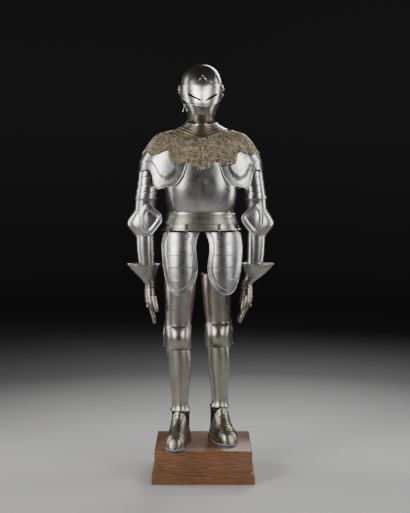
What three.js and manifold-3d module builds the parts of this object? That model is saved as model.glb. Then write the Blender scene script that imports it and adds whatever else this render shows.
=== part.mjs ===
// A suit of plate armour for a whole person, standing on its wooden plinth.
// Millimetres, +Z up, the front of the suit towards -Y.
// The origin is the middle of the plinth's underside.

import * as THREE from "three";
import { mergeVertices } from "three/addons/utils/BufferGeometryUtils.js";
import Module from "manifold-3d";

// Walls and clearances
const STEEL = 1.8;
const MAIL = 2.4;
const MAIL_EASE = 1.5;
const DAG_SINK = { reach: 10, depth: 1.8 };
const LEATHER = 2;
const SEAM = 0.3;
const RUNNING = 1.4;

// The plinth
const PLINTH_TOP = 152;
const FOOT_BOARD_TOP = 41;
const BLOCK_HALF = { x: 224, y: 205 };
const BOARD_HALF = { x: 236.5, y: 217.5 };
const EASED = 6;

// The suit stands a little left of the middle and is turned to its right
const SUIT_X = -11;
const SUIT_TURN = 4;

// The helmet turns on two side pivots
const PIVOT = { y: -5, z: 1813 };
const SKULL = { half: 96, radius: 117, power: 2.4 };
const PIN_RADIUS = 4;
const NECK_RIM = 1643;

// Levels of the body
const FAULD_TOP = 1228.7;
const FAULD_HEM = 1157;
const STRAP_X = 76;
const STRAP_HALF = 7;

// The legs: the right leg is set forward, the left leg back
const LEGS = [
  { side: -1, name: "right", y: -40, x: [100, 103, 110, 110, 101, 100] },
  { side: 1, name: "left", y: 40, x: [77, 79, 84, 81, 89, 92] },
];
const LEG_LEVELS = [945, 834, 709, 650, 533, 343];
const FOOT_SPLAY = 14;
const SOLE = { bottom: PLINTH_TOP + SEAM, top: PLINTH_TOP + SEAM + 8 };
const FOOT_BASE = SOLE.top + 0.5;

// The arms: the wrists hang at slightly different widths
const ARMS = [
  { side: -1, name: "right", bend: 251, wrist: 240, tip: 214 },
  { side: 1, name: "left", bend: 245, wrist: 219, tip: 176 },
];

const COLOURS = {
  steel: { color: 0x9a9a96, roughness: 0.38, metalness: 1 },
  mail: { color: 0x8d7a4f, roughness: 0.5, metalness: 0.8 },
  leather: { color: 0x3d332b, roughness: 0.7, metalness: 0 },
  cloth: { color: 0x7f8fa8, roughness: 0.9, metalness: 0 },
  wood: { color: 0x6b3a20, roughness: 0.45, metalness: 0 },
};

const degrees = (angle) => THREE.MathUtils.degToRad(angle);
const point = (x, y, z) => new THREE.Vector3(x, y, z);
const power = (value, exponent) => Math.sign(value) * Math.abs(value) ** exponent;

// A table gives each row of numbers the names of its columns
function table(columns, rows) {
  const names = columns.split(" ");
  return rows.map((row) => Object.fromEntries(names.map((name, i) => [name, row[i]])));
}

// The row of a table at any value of its first column
function at(rows, value, key = "z") {
  const order = rows[0][key] <= rows[rows.length - 1][key] ? rows : [...rows].reverse();
  const next = order.findIndex((row) => row[key] >= value);
  if (next === 0) return { ...order[0], [key]: value };
  if (next < 0) return { ...order[order.length - 1], [key]: value };
  const low = order[next - 1];
  const high = order[next];
  const share = (value - low[key]) / (high[key] - low[key]);
  const mixed = {};
  for (const name of Object.keys(low)) mixed[name] = low[name] + (high[name] - low[name]) * share;
  return mixed;
}

// A point of a level ring: angle 0 is the front, 90 the +X side, 180 the back
function ringPoint(ring, angle, out = 0) {
  const exponent = 2 / (ring.n ?? 2.2);
  const across = power(Math.sin(degrees(angle)), exponent);
  const along = power(Math.cos(degrees(angle)), exponent);
  const depth = (along > 0 ? ring.f : ring.b) + out;
  return point((ring.x ?? 0) + (ring.a + out) * across, (ring.y ?? 0) - depth * along, ring.z);
}

const range = (from, to, count) =>
  Array.from({ length: count + 1 }, (_, i) => from + ((to - from) * i) / count);

const turn = (count) => range(0, 360, count).slice(0, count);

// A grid of points, one row for each ring
const rings = (rows, angles, out = 0) =>
  rows.map((row) => angles.map((angle) => ringPoint(row, angle, out)));

// A wall of even thickness behind a grid of outer points, with closed rims
function shell(rows, wall, { closed = false, inside } = {}) {
  const points = [];
  const known = new Map();
  const index = rows.map((row) => row.map((p) => {
    const key = [p.x, p.y, p.z].map((v) => Math.round(v * 50)).join();
    if (!known.has(key)) {
      known.set(key, points.length);
      points.push(p.clone());
    }
    return known.get(key);
  }));
  let faces = [];
  const keep = (a, b, c) => {
    if (a !== b && b !== c && c !== a) faces.push([a, b, c]);
  };
  const columns = rows[0].length;
  for (let r = 0; r + 1 < rows.length; r++) {
    for (let c = 0; c < (closed ? columns : columns - 1); c++) {
      const d = (c + 1) % columns;
      keep(index[r][c], index[r][d], index[r + 1][d]);
      keep(index[r][c], index[r + 1][d], index[r + 1][c]);
    }
  }
  const centre = inside ?? points.reduce((sum, p) => sum.add(p), point(0, 0, 0))
    .divideScalar(points.length);
  const slope = ([a, b, c]) => new THREE.Vector3().subVectors(points[b], points[a])
    .cross(new THREE.Vector3().subVectors(points[c], points[a]));
  const facing = faces.reduce((sum, face) =>
    sum + slope(face).dot(new THREE.Vector3().subVectors(points[face[0]], centre)), 0);
  if (facing < 0) faces = faces.map(([a, b, c]) => [a, c, b]);
  const normals = points.map(() => point(0, 0, 0));
  for (const face of faces) {
    for (const corner of face) normals[corner].add(slope(face));
  }
  const count = points.length;
  const inner = points.map((p, i) => p.clone().addScaledVector(normals[i].normalize(), -wall));
  const solid = [];
  const edges = new Set(faces.flatMap(([a, b, c]) => [`${a},${b}`, `${b},${c}`, `${c},${a}`]));
  for (const [a, b, c] of faces) {
    solid.push(a, b, c, a + count, c + count, b + count);
    for (const [from, to] of [[a, b], [b, c], [c, a]]) {
      if (!edges.has(`${to},${from}`)) {
        solid.push(to, from, from + count, to, from + count, to + count);
      }
    }
  }
  return geometryOf([...points, ...inner], solid);
}

function geometryOf(points, triangles) {
  const geometry = new THREE.BufferGeometry();
  const flat = points.flatMap((p) => [p.x, p.y, p.z]);
  geometry.setAttribute("position", new THREE.Float32BufferAttribute(flat, 3));
  geometry.setIndex(triangles);
  geometry.computeVertexNormals();
  return geometry;
}

// A solid from level outlines that share one number of points, with flat ends
function stack(levels) {
  const count = levels[0].length;
  const triangles = [];
  for (let level = 0; level + 1 < levels.length; level++) {
    for (let i = 0; i < count; i++) {
      const a = level * count + i;
      const b = level * count + ((i + 1) % count);
      triangles.push(a, b, b + count, a, b + count, a + count);
    }
  }
  const top = (levels.length - 1) * count;
  for (let i = 1; i + 1 < count; i++) {
    triangles.push(0, i + 1, i, top, top + i, top + i + 1);
  }
  return geometryOf(levels.flat(), triangles);
}

const wasm = await Module();
wasm.setup();

function solidOf(geometry) {
  const bare = geometry.clone();
  bare.deleteAttribute("normal");
  bare.deleteAttribute("uv");
  const merged = mergeVertices(bare, 1e-4);
  return new wasm.Manifold(new wasm.Mesh({
    numProp: 3,
    vertProperties: new Float32Array(merged.attributes.position.array),
    triVerts: new Uint32Array(merged.index.array),
  }));
}

// A piece with tools cut out of it
function cut(geometry, tools) {
  let solid = solidOf(geometry);
  for (const tool of tools) solid = solid.subtract(solidOf(tool));
  const mesh = solid.getMesh();
  const result = new THREE.BufferGeometry();
  result.setAttribute("position", new THREE.BufferAttribute(mesh.vertProperties, 3));
  result.setIndex(new THREE.BufferAttribute(mesh.triVerts, 1));
  result.computeVertexNormals();
  return result;
}

const object = new THREE.Group();
const suit = new THREE.Group();
suit.position.x = SUIT_X;
suit.rotation.z = degrees(SUIT_TURN);
object.add(suit);

function add(name, geometry, finish, parent = suit) {
  const mesh = new THREE.Mesh(geometry, new THREE.MeshStandardMaterial(COLOURS[finish]));
  mesh.name = name;
  parent.add(mesh);
  return mesh;
}

// The plinth: a stained block with eased edges on a wider foot board
function rectangle(half, inset, z) {
  const x = half.x - inset;
  const y = half.y - inset;
  return [point(-x, -y, z), point(x, -y, z), point(x, y, z), point(-x, y, z)];
}

function plinth() {
  const board = stack([
    rectangle(BOARD_HALF, 0, 0),
    rectangle(BOARD_HALF, 0, FOOT_BOARD_TOP - EASED),
    rectangle(BOARD_HALF, EASED, FOOT_BOARD_TOP),
  ]);
  const block = stack([
    rectangle(BLOCK_HALF, 0, FOOT_BOARD_TOP),
    rectangle(BLOCK_HALF, 0, PLINTH_TOP - EASED),
    rectangle(BLOCK_HALF, EASED, PLINTH_TOP),
  ]);
  add("plinth_foot_board", board, "wood", object);
  add("plinth_block", block, "wood", object);
}

// The skull, above its pivots, is one turned form about the pivot axis
function skullRadius(angle, z, out) {
  const across = Math.sin(degrees(angle));
  const along = Math.cos(degrees(angle));
  const rise = z - PIVOT.z;
  let low = 0;
  let high = 2 * SKULL.radius;
  for (let i = 0; i < 40; i++) {
    const middle = (low + high) / 2;
    const side = Math.abs(middle * across) / (SKULL.half + out);
    const reach = Math.hypot(middle * along, rise) / (SKULL.radius + out);
    if (side ** SKULL.power + reach ** SKULL.power < 1) low = middle;
    else high = middle;
  }
  return low;
}

const polar = (angle, radius, z) =>
  point(radius * Math.sin(degrees(angle)), PIVOT.y - radius * Math.cos(degrees(angle)), z);

// The distance of a level oval from the pivot line, in one direction
function ovalRadius(oval, angle) {
  const depth = Math.cos(degrees(angle)) > 0 ? oval.f : oval.b;
  const across = Math.abs(Math.sin(degrees(angle)) / oval.a) ** SKULL.power;
  const along = Math.abs(Math.cos(degrees(angle)) / depth) ** SKULL.power;
  return (across + along) ** (-1 / SKULL.power);
}

function helmetPoint(lower, angle, z, out) {
  const radius = z >= PIVOT.z
    ? skullRadius(angle, z, out)
    : ovalRadius(at(lower, z), angle);
  return polar(angle, radius, z);
}

const mirrored = (half) => [...half.slice(1).reverse().map((v) => -v), ...half];

const SKULL_LOWER = table("z a f b", [
  [1657, 76.5, 70, 78],
  [1666, 62, 70, 72],
  [1676, 57, 72, 74],
  [1692, 59, 80, 80],
  [1717, 68, 92, 92],
  [1742, 79.5, 106, 104],
  [1780, 92, 115, 114],
  [PIVOT.z, SKULL.half, SKULL.radius, SKULL.radius],
]);

function skull() {
  const half = table("angle hem", [
    [0, 1826], [20, 1826], [40, 1825], [58, 1824], [70, 1823],
    [79, 1681], [92, 1681], [106, 1681], [113, 1657.2], [130, 1658.5], [152, 1661.5], [180, 1664],
  ]);
  const columns = [...half.slice(1, -1).reverse().map((row) => ({ ...row, angle: -row.angle })), ...half];
  const crown = [1928, 1914, 1886, 1852];
  const rows = [columns.map(() => point(0, PIVOT.y, PIVOT.z + SKULL.radius))];
  for (const level of crown) {
    rows.push(columns.map(({ angle }) => helmetPoint(SKULL_LOWER, angle, level, 0)));
  }
  const tail = [0.24, 0.5, 0.74, 0.92, 1];
  const start = crown[crown.length - 1];
  for (const share of tail) {
    rows.push(columns.map(({ angle, hem }) =>
      helmetPoint(SKULL_LOWER, angle, start + (hem - start) * share, 0)));
  }
  return shell(rows, STEEL, { closed: true, inside: point(0, PIVOT.y, PIVOT.z) });
}

const BEVOR_OUT = RUNNING + STEEL;
const BEVOR_LOWER = table("z a f b", [
  [NECK_RIM, 54, 71, 80],
  [1649, 51.5, 70, 80],
  [1662, 54, 82, 84],
  [1676, 61.2, 97, 84],
  [1692, 63.2, 117, 86],
  [1717, 72.2, 128, 96],
  [1742, 83.8, 133, 108],
  [1780, 96, 129, 118],
  [PIVOT.z, SKULL.half + BEVOR_OUT, SKULL.radius + BEVOR_OUT, SKULL.radius + BEVOR_OUT],
]);

function bevor() {
  const top = table("angle z", [
    [0, 1742], [40, 1742], [55, 1748], [66, 1772], [74, 1812], [80, 1832], [88, 1838], [100, 1832],
  ]);
  const angles = mirrored([0, 14, 30, 46, 60, 70, 78, 88, 100]);
  const levels = [PIVOT.z + 40, PIVOT.z, 1780, 1742, 1717, 1692, 1662, 1649, NECK_RIM];
  const rows = levels.map((level, i) => angles.map((angle) => {
    const start = at(top, Math.abs(angle), "angle").z;
    return helmetPoint(BEVOR_LOWER, angle, Math.min(level, start - 3 * i), BEVOR_OUT);
  }));
  return shell(rows, STEEL, { inside: point(0, PIVOT.y, PIVOT.z - 80) });
}

const VISOR_OUT = 2 * (RUNNING + STEEL);
const VISOR_LOWER = table("z a f b prow", [
  [1725, 85, 120, 120, 21],
  [1745, 90.5, 123, 122, 22],
  [1780, 99.6, 124, 122, 23],
  [1788, 101.2, 124, 122.5, 22],
  [PIVOT.z, SKULL.half + VISOR_OUT, SKULL.radius + VISOR_OUT, SKULL.radius + VISOR_OUT, 19],
]);
const VISOR_PROW = table("z prow", [[PIVOT.z, 19], [1850, 9], [1873, 2]]);
const KEEL_REACH = 72;

function visorPoint(angle, z) {
  const base = helmetPoint(VISOR_LOWER, angle, z, VISOR_OUT);
  const prow = z >= PIVOT.z ? at(VISOR_PROW, z).prow : at(VISOR_LOWER, z).prow;
  const share = Math.max(0, 1 - Math.abs(angle) / KEEL_REACH) ** 1.3;
  return base.add(polar(angle, prow * share, 0)).setZ(z).add(point(0, -PIVOT.y, 0));
}

function visor() {
  const edges = table("angle low high", [
    [0, 1725, 1873], [4, 1726, 1858], [10, 1729, 1844], [22, 1736, 1836],
    [38, 1750, 1831], [54, 1766, 1823], [68, 1779, 1820], [77, 1787, 1827],
    [88, 1791, 1836], [98, 1797, 1830],
  ]);
  const columns = [...edges.slice(1).reverse().map((row) => ({ ...row, angle: -row.angle })), ...edges];
  const rows = range(0, 1, 5).map((share) => columns.map(({ angle, low, high }) =>
    visorPoint(angle, high + (low - high) * share)));
  return shell(rows, STEEL, { inside: point(0, PIVOT.y, PIVOT.z) });
}

// A slanted sight cut through the front of the visor
function sight(side) {
  const slot = new THREE.BoxGeometry(62, 90, 8);
  slot.rotateY(degrees(-29 * side));
  slot.translate(38 * side, -135, 1767.5);
  return slot;
}

// A turned pin with a domed head, pointing out of one side of the helmet
function pivotPin(side) {
  const inner = SKULL.half - STEEL - 3;
  const seat = SKULL.half + VISOR_OUT + SEAM;
  const profile = [
    [0, inner], [PIN_RADIUS, inner], [PIN_RADIUS, seat], [7.5, seat], [7.5, seat + 2.5],
    [5.5, seat + 5.5], [2.5, seat + 7], [0, seat + 7.4],
  ];
  const pin = new THREE.LatheGeometry(profile.map(([r, h]) => new THREE.Vector2(r, h)), 10);
  pin.rotateZ(degrees(-90 * side));
  pin.translate(0, PIVOT.y, PIVOT.z);
  return pin;
}

function pivotHole() {
  const drill = new THREE.CylinderGeometry(PIN_RADIUS + 0.4, PIN_RADIUS + 0.4, 400, 10);
  drill.rotateZ(degrees(90));
  drill.translate(0, PIVOT.y, PIVOT.z);
  return drill;
}

// The forked stay on the right cheek, an upturned V of thin bar
const FORK = { angle: -50, turn: -40, z: 1739, gap: 3 };

function fork() {
  const outline = new THREE.Shape([
    [-15, -35], [-11, -36], [1, -6], [13, -33], [17, -31], [3, 3], [-1, 3],
  ].map(([x, z]) => new THREE.Vector2(x, z)));
  const bar = new THREE.ExtrudeGeometry(outline, { depth: 3, bevelEnabled: false });
  bar.rotateX(degrees(90));
  bar.rotateZ(degrees(FORK.turn));
  const seat = helmetPoint(BEVOR_LOWER, FORK.angle, FORK.z, BEVOR_OUT);
  const away = polar(FORK.angle, FORK.gap, 0);
  bar.translate(seat.x + away.x, seat.y + away.y - PIVOT.y, FORK.z);
  return bar;
}

function helmet() {
  const hole = pivotHole();
  add("helmet_skull", cut(skull(), [hole]), "steel");
  add("helmet_bevor", cut(bevor(), [hole]), "steel");
  add("helmet_visor", cut(visor(), [hole, sight(1), sight(-1)]), "steel");
  add("helmet_fork", fork(), "steel");
  for (const { side, name } of ARMS) add(`helmet_pivot_${name}`, pivotPin(side), "steel");
}

// The gorget: two lames all round, parted at the sides
const GORGET = table("a f b front side back", [
  [77, 80, 74, 1637, 1656, 1663],
  [84, 88, 81, 1626, 1648, 1650],
  [92, 96, 90, 1614, 1642, 1637],
  [95, 99, 93, 1614, 1642, 1637],
  [108, 110, 102, 1600, 1635, 1620],
  [122, 119.4, 110.6, 1587.4, 1627.2, 1606],
]);

function gorgetPoint(row, angle) {
  const share = Math.abs(Math.cos(degrees(angle))) ** 3.4;
  const end = Math.cos(degrees(angle)) > 0 ? row.front : row.back;
  return ringPoint({ ...row, n: 2.1, z: row.side + (end - row.side) * share }, angle);
}

function gorget() {
  const parts = { front: range(-89.8, 89.8, 14), back: range(90.2, 269.8, 10) };
  for (const [name, angles] of Object.entries(parts)) {
    const rows = GORGET.map((row) => angles.map((angle) => gorgetPoint(row, angle)));
    add(`gorget_${name}`, shell(rows, STEEL, { inside: point(0, 0, 1560) }), "steel");
  }
}

// The line of the shoulders and upper chest, which the pauldrons follow
const MANTLE = table("z a f b n", [
  [1625, 92, 73, 68, 2.2],
  [1621, 115, 79, 74, 2.2],
  [1614, 150, 87, 82, 2.3],
  [1604, 186, 96, 90, 2.4],
  [1590, 212, 106, 98, 2.5],
  [1563, 236, 124, 112, 2.5],
  [1541, 250, 133, 118, 2.5],
  [1516, 267, 141, 122, 2.5],
  [1492, 283, 146, 125, 2.5],
  [1461, 294, 149, 126, 2.5],
  [1400, 295, 150, 126, 2.5],
  [1340, 295, 148, 124, 2.5],
]);
const mantlePoint = (angle, z, out = 0) => ringPoint(at(MANTLE, z), angle, out);

// Moves a grid of points out along its own normals
function lifted(rows, distance, closed) {
  const columns = rows[0].length;
  return rows.map((row, r) => row.map((p, c) => {
    const left = closed ? (c + columns - 1) % columns : Math.max(c - 1, 0);
    const right = closed ? (c + 1) % columns : Math.min(c + 1, columns - 1);
    const down = rows[Math.min(r + 1, rows.length - 1)][c];
    const up = rows[Math.max(r - 1, 0)][c];
    const normal = new THREE.Vector3().subVectors(row[right], row[left])
      .cross(new THREE.Vector3().subVectors(up, down)).normalize();
    return p.clone().addScaledVector(normal, distance);
  }));
}

// The mail cape: its hem hangs in dags, the same in front and behind
const HEM = table("angle z", [
  [0, 1419], [7.6, 1484], [10.5, 1468], [17, 1457], [24, 1464],
  [29, 1490], [31.5, 1526], [41, 1511], [50, 1503], [59, 1506], [68, 1519], [79, 1512], [90, 1508],
]);

function mailCape() {
  const quarter = HEM.map((row) => row.angle);
  const front = mirrored(quarter);
  const back = mirrored(quarter.slice(0, -1)).map((angle) => angle + 180);
  const angles = [...front, ...back];
  const hemAt = (angle) => {
    const turned = Math.abs(((angle + 180 + 720) % 360) - 180);
    return at(HEM, Math.min(turned, 180 - turned), "angle").z;
  };
  const sunk = (angle) => point(0, DAG_SINK.depth * Math.max(0, 1 - Math.abs(angle) / DAG_SINK.reach), 0);
  const levels = [1621, 1614, 1604, 1590, 1563, 1541, 1516, 1490, 0];
  const rows = levels.map((level, i) => angles.map((angle) =>
    mantlePoint(angle, Math.max(level, hemAt(angle) + 3 * (levels.length - 1 - i))).add(sunk(angle))));
  const raised = lifted(rows, MAIL + MAIL_EASE, true);
  return shell(raised, MAIL, { closed: true, inside: point(0, 0, 1400) });
}

// The pauldron: a cap with a front flap and a back flap cut round below
const ANGLE_OF = (x) => (Math.asin(Math.min(1, x / 295) ** 1.25) * 180) / Math.PI;
const FLAP_FRONT = table("x low", [
  [78, 1470], [86, 1436], [96, 1408], [112, 1384], [135, 1365], [165, 1361],
  [189, 1357], [209, 1348], [226, 1376], [238, 1434],
]);
const FLAP_SIDE = table("x low", [[266, 1438], [287, 1433]]);
const FLAP_BACK = table("x low", [
  [238, 1430], [225, 1372], [190, 1350], [140, 1354], [104, 1378], [84, 1425],
]);

function pauldron(side) {
  const columns = [
    ...FLAP_FRONT.map(({ x, low }) => ({ angle: ANGLE_OF(x), low })),
    ...FLAP_SIDE.map(({ x, low }) => ({ angle: ANGLE_OF(x), low })),
    { angle: 90, low: 1430 },
    ...[...FLAP_SIDE].reverse().map(({ x, low }) => ({ angle: 180 - ANGLE_OF(x), low })),
    ...FLAP_BACK.map(({ x, low }) => ({ angle: 180 - ANGLE_OF(x), low })),
  ];
  const fixed = [1614, 1604, 1590, 1563, 1541, 1516];
  const rows = fixed.map((z) => columns.map(({ angle }) => mantlePoint(side * angle, z)));
  for (const share of [0.45, 1]) {
    rows.push(columns.map(({ angle, low }) => mantlePoint(side * angle, 1516 + (low - 1516) * share)));
  }
  return shell(rows, STEEL, { inside: point(side * 120, 0, 1450) });
}

// Breastplate and backplate, cut in round the armholes
const TORSO = table("z a f b n open", [
  [1229, 159, 121, 100, 2.3, 89.92],
  [1240, 156, 118, 96, 2.3, 89.92],
  [1262, 159, 127, 97, 2.35, 89.92],
  [1295, 166, 138, 102, 2.4, 89.92],
  [1335, 170, 145.4, 107, 2.5, 89.92],
  [1375, 171, 148.2, 111, 2.5, 82],
  [1420, 171, 148.4, 114, 2.5, 64],
  [1465, 168, 146.6, 116, 2.5, 50],
  [1505, 158, 141, 116, 2.3, 44],
  [1540, 142, 130, 110, 2.2, 44],
  [1570, 122, 116, 101, 2.2, 46],
]);

function torso() {
  const front = TORSO.map((row) => range(-row.open, row.open, 12).map((angle) => ringPoint(row, angle)));
  const back = TORSO.map((row) => range(180 - row.open, 180 + row.open, 10)
    .map((angle) => ringPoint(row, angle)));
  add("breastplate", shell(front, STEEL, { inside: point(0, 0, 1380) }), "steel");
  add("backplate", shell(back, STEEL, { inside: point(0, 0, 1380) }), "steel");
}

// The fauld and the rear skirt below the waist
const FAULD = table("z a f b n", [
  [FAULD_TOP, 159.6, 121.6, 100.6, 2.3],
  [1206, 167, 128, 108, 2.3],
  [1178, 177, 136, 118, 2.3],
  [FAULD_HEM, 186, 143, 127, 2.3],
]);

function fauld() {
  const parts = { front: range(-89.93, 89.93, 14), back: range(90.07, 269.93, 12) };
  for (const [name, angles] of Object.entries(parts)) {
    add(`fauld_${name}`, shell(rings(FAULD, angles), STEEL, { inside: point(0, 0, FAULD_TOP) }), "steel");
  }
}

// A tasset: a long plate with a round foot, hung in front of one thigh
const TASSET = table("z inner outer y", [
  [1146, 15, 174, -132],
  [1120, 27, 181, -136],
  [1083, 33, 186, -140],
  [1040, 30, 184, -142],
  [990, 24, 180, -142],
  [950, 28, 173, -140],
  [920, 38, 166, -138],
  [896, 52, 157, -136],
  [878, 68, 147, -135],
  [866, 86, 134, -134],
  [860, 104, 118, -133.5],
]);
const STRAP_EASE = 0.9;
const STRAP_LEVELS = [1170, 1159, 1146, 1136, 1118];
const TASSET_TOP = TASSET[0].z;
const TASSET_MIDDLE = 92;
const TASSET_CURVE = 0.006;
const tassetDepth = (x, z) => at(TASSET, z).y + TASSET_CURVE * (x - TASSET_MIDDLE) ** 2;

function tasset(side) {
  const rows = TASSET.map(({ z, inner, outer }) =>
    range(inner, outer, 7).map((x) => point(side * x, tassetDepth(x, z), z)));
  return shell(rows, STEEL, { inside: point(side * 90, 0, 1000) });
}

// A strap runs from the fauld down on to a tasset, moved out from both
function strap(side, middle, top, bottom) {
  const fauldDepth = (x, z) => {
    const ring = at(FAULD, Math.max(z, FAULD_HEM));
    return -ring.f * (1 - (x / ring.a) ** ring.n) ** (1 / ring.n);
  };
  const levels = [top, ...STRAP_LEVELS, bottom];
  const slope = 2 * TASSET_CURVE * (middle - TASSET_MIDDLE);
  const lift = (LEATHER + STRAP_EASE) * Math.hypot(1, slope);
  const rows = levels.map((z) => range(-STRAP_HALF, STRAP_HALF, 2).map((offset) => {
    const x = middle + offset;
    const hung = tassetDepth(x, Math.min(z, TASSET_TOP));
    const depth = z > TASSET_TOP ? Math.min(fauldDepth(x, z), hung) : hung;
    return point(side * x, depth - lift, z);
  }));
  return shell(rows, LEATHER, { inside: point(side * middle, 0, TASSET_TOP) });
}

const BUCKLE = { x: 14, z: 10, bar: 4, thick: 2.5, level: 1134 };

function buckle(side) {
  const corners = (inset) => [[-1, -1], [1, -1], [1, 1], [-1, 1]]
    .map(([x, z]) => new THREE.Vector2(x * (BUCKLE.x - inset), z * (BUCKLE.z - inset)));
  const frame = new THREE.Shape(corners(0));
  frame.holes.push(new THREE.Path(corners(BUCKLE.bar).reverse()));
  const geometry = new THREE.ExtrudeGeometry(frame, { depth: BUCKLE.thick, bevelEnabled: false });
  geometry.rotateX(degrees(90));
  const seat = tassetDepth(STRAP_X, BUCKLE.level - BUCKLE.z);
  geometry.translate(side * STRAP_X, seat - LEATHER - STRAP_EASE - 5 * SEAM, BUCKLE.level);
  return geometry;
}

function tassets() {
  for (const { side, name } of ARMS) {
    add(`tasset_${name}`, tasset(side), "steel");
    add(`strap_inner_${name}`, strap(side, STRAP_X, 1186, 1092), "leather");
    if (side < 0) add(`strap_outer_${name}`, strap(side, 158, 1178, 1098), "leather");
    add(`buckle_${name}`, buckle(side), "steel");
  }
}

// Arms: closed tubes above and below an elbow cop with a heart-shaped wing
const UPPER_CANNON = table("z x a f b", [
  [1482, 242, 39, 50, 50],
  [1430, 248, 42.4, 52, 52],
  [1370, 252, 46.5, 53, 53],
  [1312, 257, 50, 52, 52],
  [1304, 257.5, 52.5, 54, 54],
]);
const LOWER_CANNON = table("z x a f b", [
  [1302.3, 257.5, 51.5, 53, 53],
  [1295, 258, 49, 50, 50],
  [1258, 261.5, 48.6, 47, 47],
  [1216, 264, 46, 45, 45],
]);
const COUTER = table("z x a f b n", [
  [1246, 262, 51, 49.5, 49.5, 2.2],
  [1224, 264, 66, 55, 55, 2.1],
  [1204, 265, 77, 58, 60, 2],
  [1186, 266, 81.5, 58.6, 63, 1.95],
  [1166, 266, 75, 58, 60, 2],
  [1146, 265, 58, 54, 55, 2.1],
  [1126, 264, 43.6, 48.3, 48.3, 2.2],
]);
const vambraceRows = (bend) => table("z x a f b", [
  [1152, 263, 40, 45, 45],
  [1110, 263, 41.3, 46, 46],
  [1050, 261, 40, 44, 44],
  [990, 257, 37, 41, 41],
  [930, bend, 33.4, 38, 38],
]);
// The cuff narrows from its flared rim to the wrist
const cuffRows = (bend, wrist) => table("z x a f b", [
  [993, 271, 76, 62, 60],
  [984, 270, 71, 60, 58],
  [958, 262, 55, 50, 49],
  [928, bend, 36.4, 41, 41],
  [904, wrist, 27, 37.5, 37.5],
  [884, wrist - 1, 26, 38, 38],
]);

const WING = { x: 245, z: 1205, y: -63.9, lean: 0.12, dome: 11, rings: 3, spokes: 18 };
const WING_EDGE = [
  [13, 73], [-25, 50], [-59, 7], [-38, -35], [5, -74], [35, -45], [45, 0], [40, 45],
];

function wing(side) {
  const edge = new THREE.CatmullRomCurve3(WING_EDGE.map(([x, z]) => point(x, 0, z)), true, "centripetal");
  const outline = edge.getSpacedPoints(WING.spokes).slice(0, WING.spokes);
  const rows = range(0, 1, WING.rings).map((share) => outline.map((p) =>
    point(side * (WING.x + p.x * share), WING.y + WING.lean * p.x * share - WING.dome * (1 - share ** 2),
      WING.z + p.z * share)));
  return shell(rows, STEEL, { closed: true, inside: point(side * WING.x, 0, WING.z) });
}

const sided = (rows, side) => rows.map((row) => ({ ...row, x: side * row.x }));

// Hand plates follow the wrist of each arm, the palm side is left open
function handRows(arm) {
  const { wrist, tip } = arm;
  const middle = (wrist + tip) / 2;
  return {
    hand: table("z x a f b", [
      [883.7, wrist - 1, 26.4, 38.4, 38.4],
      [862, wrist - 2, 28, 42, 41],
      [838, wrist - 4, 29.5, 45, 43],
      [812, wrist - 8, 29.5, 46, 44],
      [796, wrist - 11, 27, 45, 43],
    ]),
    fingers: table("z x a f b", [
      [795.2, wrist - 11, 27, 44, 42],
      [776, middle - 2, 23, 42, 40],
      [752, middle - 9, 19, 40, 37],
      [730, tip + 2, 16, 36, 33],
      [718, tip, 11, 28, 25],
      [714, tip, 0.001, 0.001, 0.001],
    ]),
    thumb: table("z x y a f b", [
      [846, wrist - 16.5, -52.4, 13.4, 11.6, 11.6],
      [820, wrist - 21, -58, 12.5, 11, 11],
      [794, wrist - 27, -62, 11, 10, 10],
      [776, wrist - 30, -61, 7, 7, 7],
      [772, wrist - 31, -61, 0.001, 0.001, 0.001],
    ]),
  };
}

function arms() {
  for (const arm of ARMS) {
    const { side, name } = arm;
    const tube = (rows, columns = 14) =>
      shell(rings(sided(rows, side), turn(columns)), STEEL, { closed: true });
    const cop = range(-24, 204, 12).map((angle) => side * angle);
    const back = range(-48, 228, 12).map((angle) => side * angle);
    const hand = handRows(arm);
    add(`pauldron_${name}`, pauldron(side), "steel");
    add(`upper_cannon_${name}`, tube(UPPER_CANNON), "steel");
    add(`lower_cannon_${name}`, tube(LOWER_CANNON), "steel");
    add(`couter_${name}`, shell(rings(sided(COUTER, side), cop), STEEL), "steel");
    add(`couter_wing_${name}`, wing(side), "steel");
    add(`vambrace_${name}`, tube(vambraceRows(arm.bend)), "steel");
    add(`gauntlet_cuff_${name}`, tube(cuffRows(arm.bend, arm.wrist), 16), "steel");
    add(`gauntlet_hand_${name}`, shell(rings(sided(hand.hand, side), back), STEEL), "steel");
    add(`gauntlet_fingers_${name}`, fingers(hand.fingers, side), "steel");
    add(`gauntlet_thumb_${name}`, tube(hand.thumb, 8), "steel");
  }
}

const LOBE_DEPTH = 0.1;

// Four fingers side by side, scalloped on the outside and closed at the tips
function fingers(rows, side) {
  const angles = turn(14);
  const wave = (angle) => Math.abs(Math.sin(degrees(angle)));
  const lobes = (angle) => 1 - LOBE_DEPTH * wave(2 * angle) * wave(angle);
  const grid = rings(sided(rows, side), angles).map((ring, r) => ring.map((p, c) => {
    const centre = side * rows[r].x;
    return point(centre + (p.x - centre) * lobes(angles[c]), p.y, p.z);
  }));
  return shell(grid, STEEL, { closed: true, inside: point(side * rows[0].x, 0, 760) });
}

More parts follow.
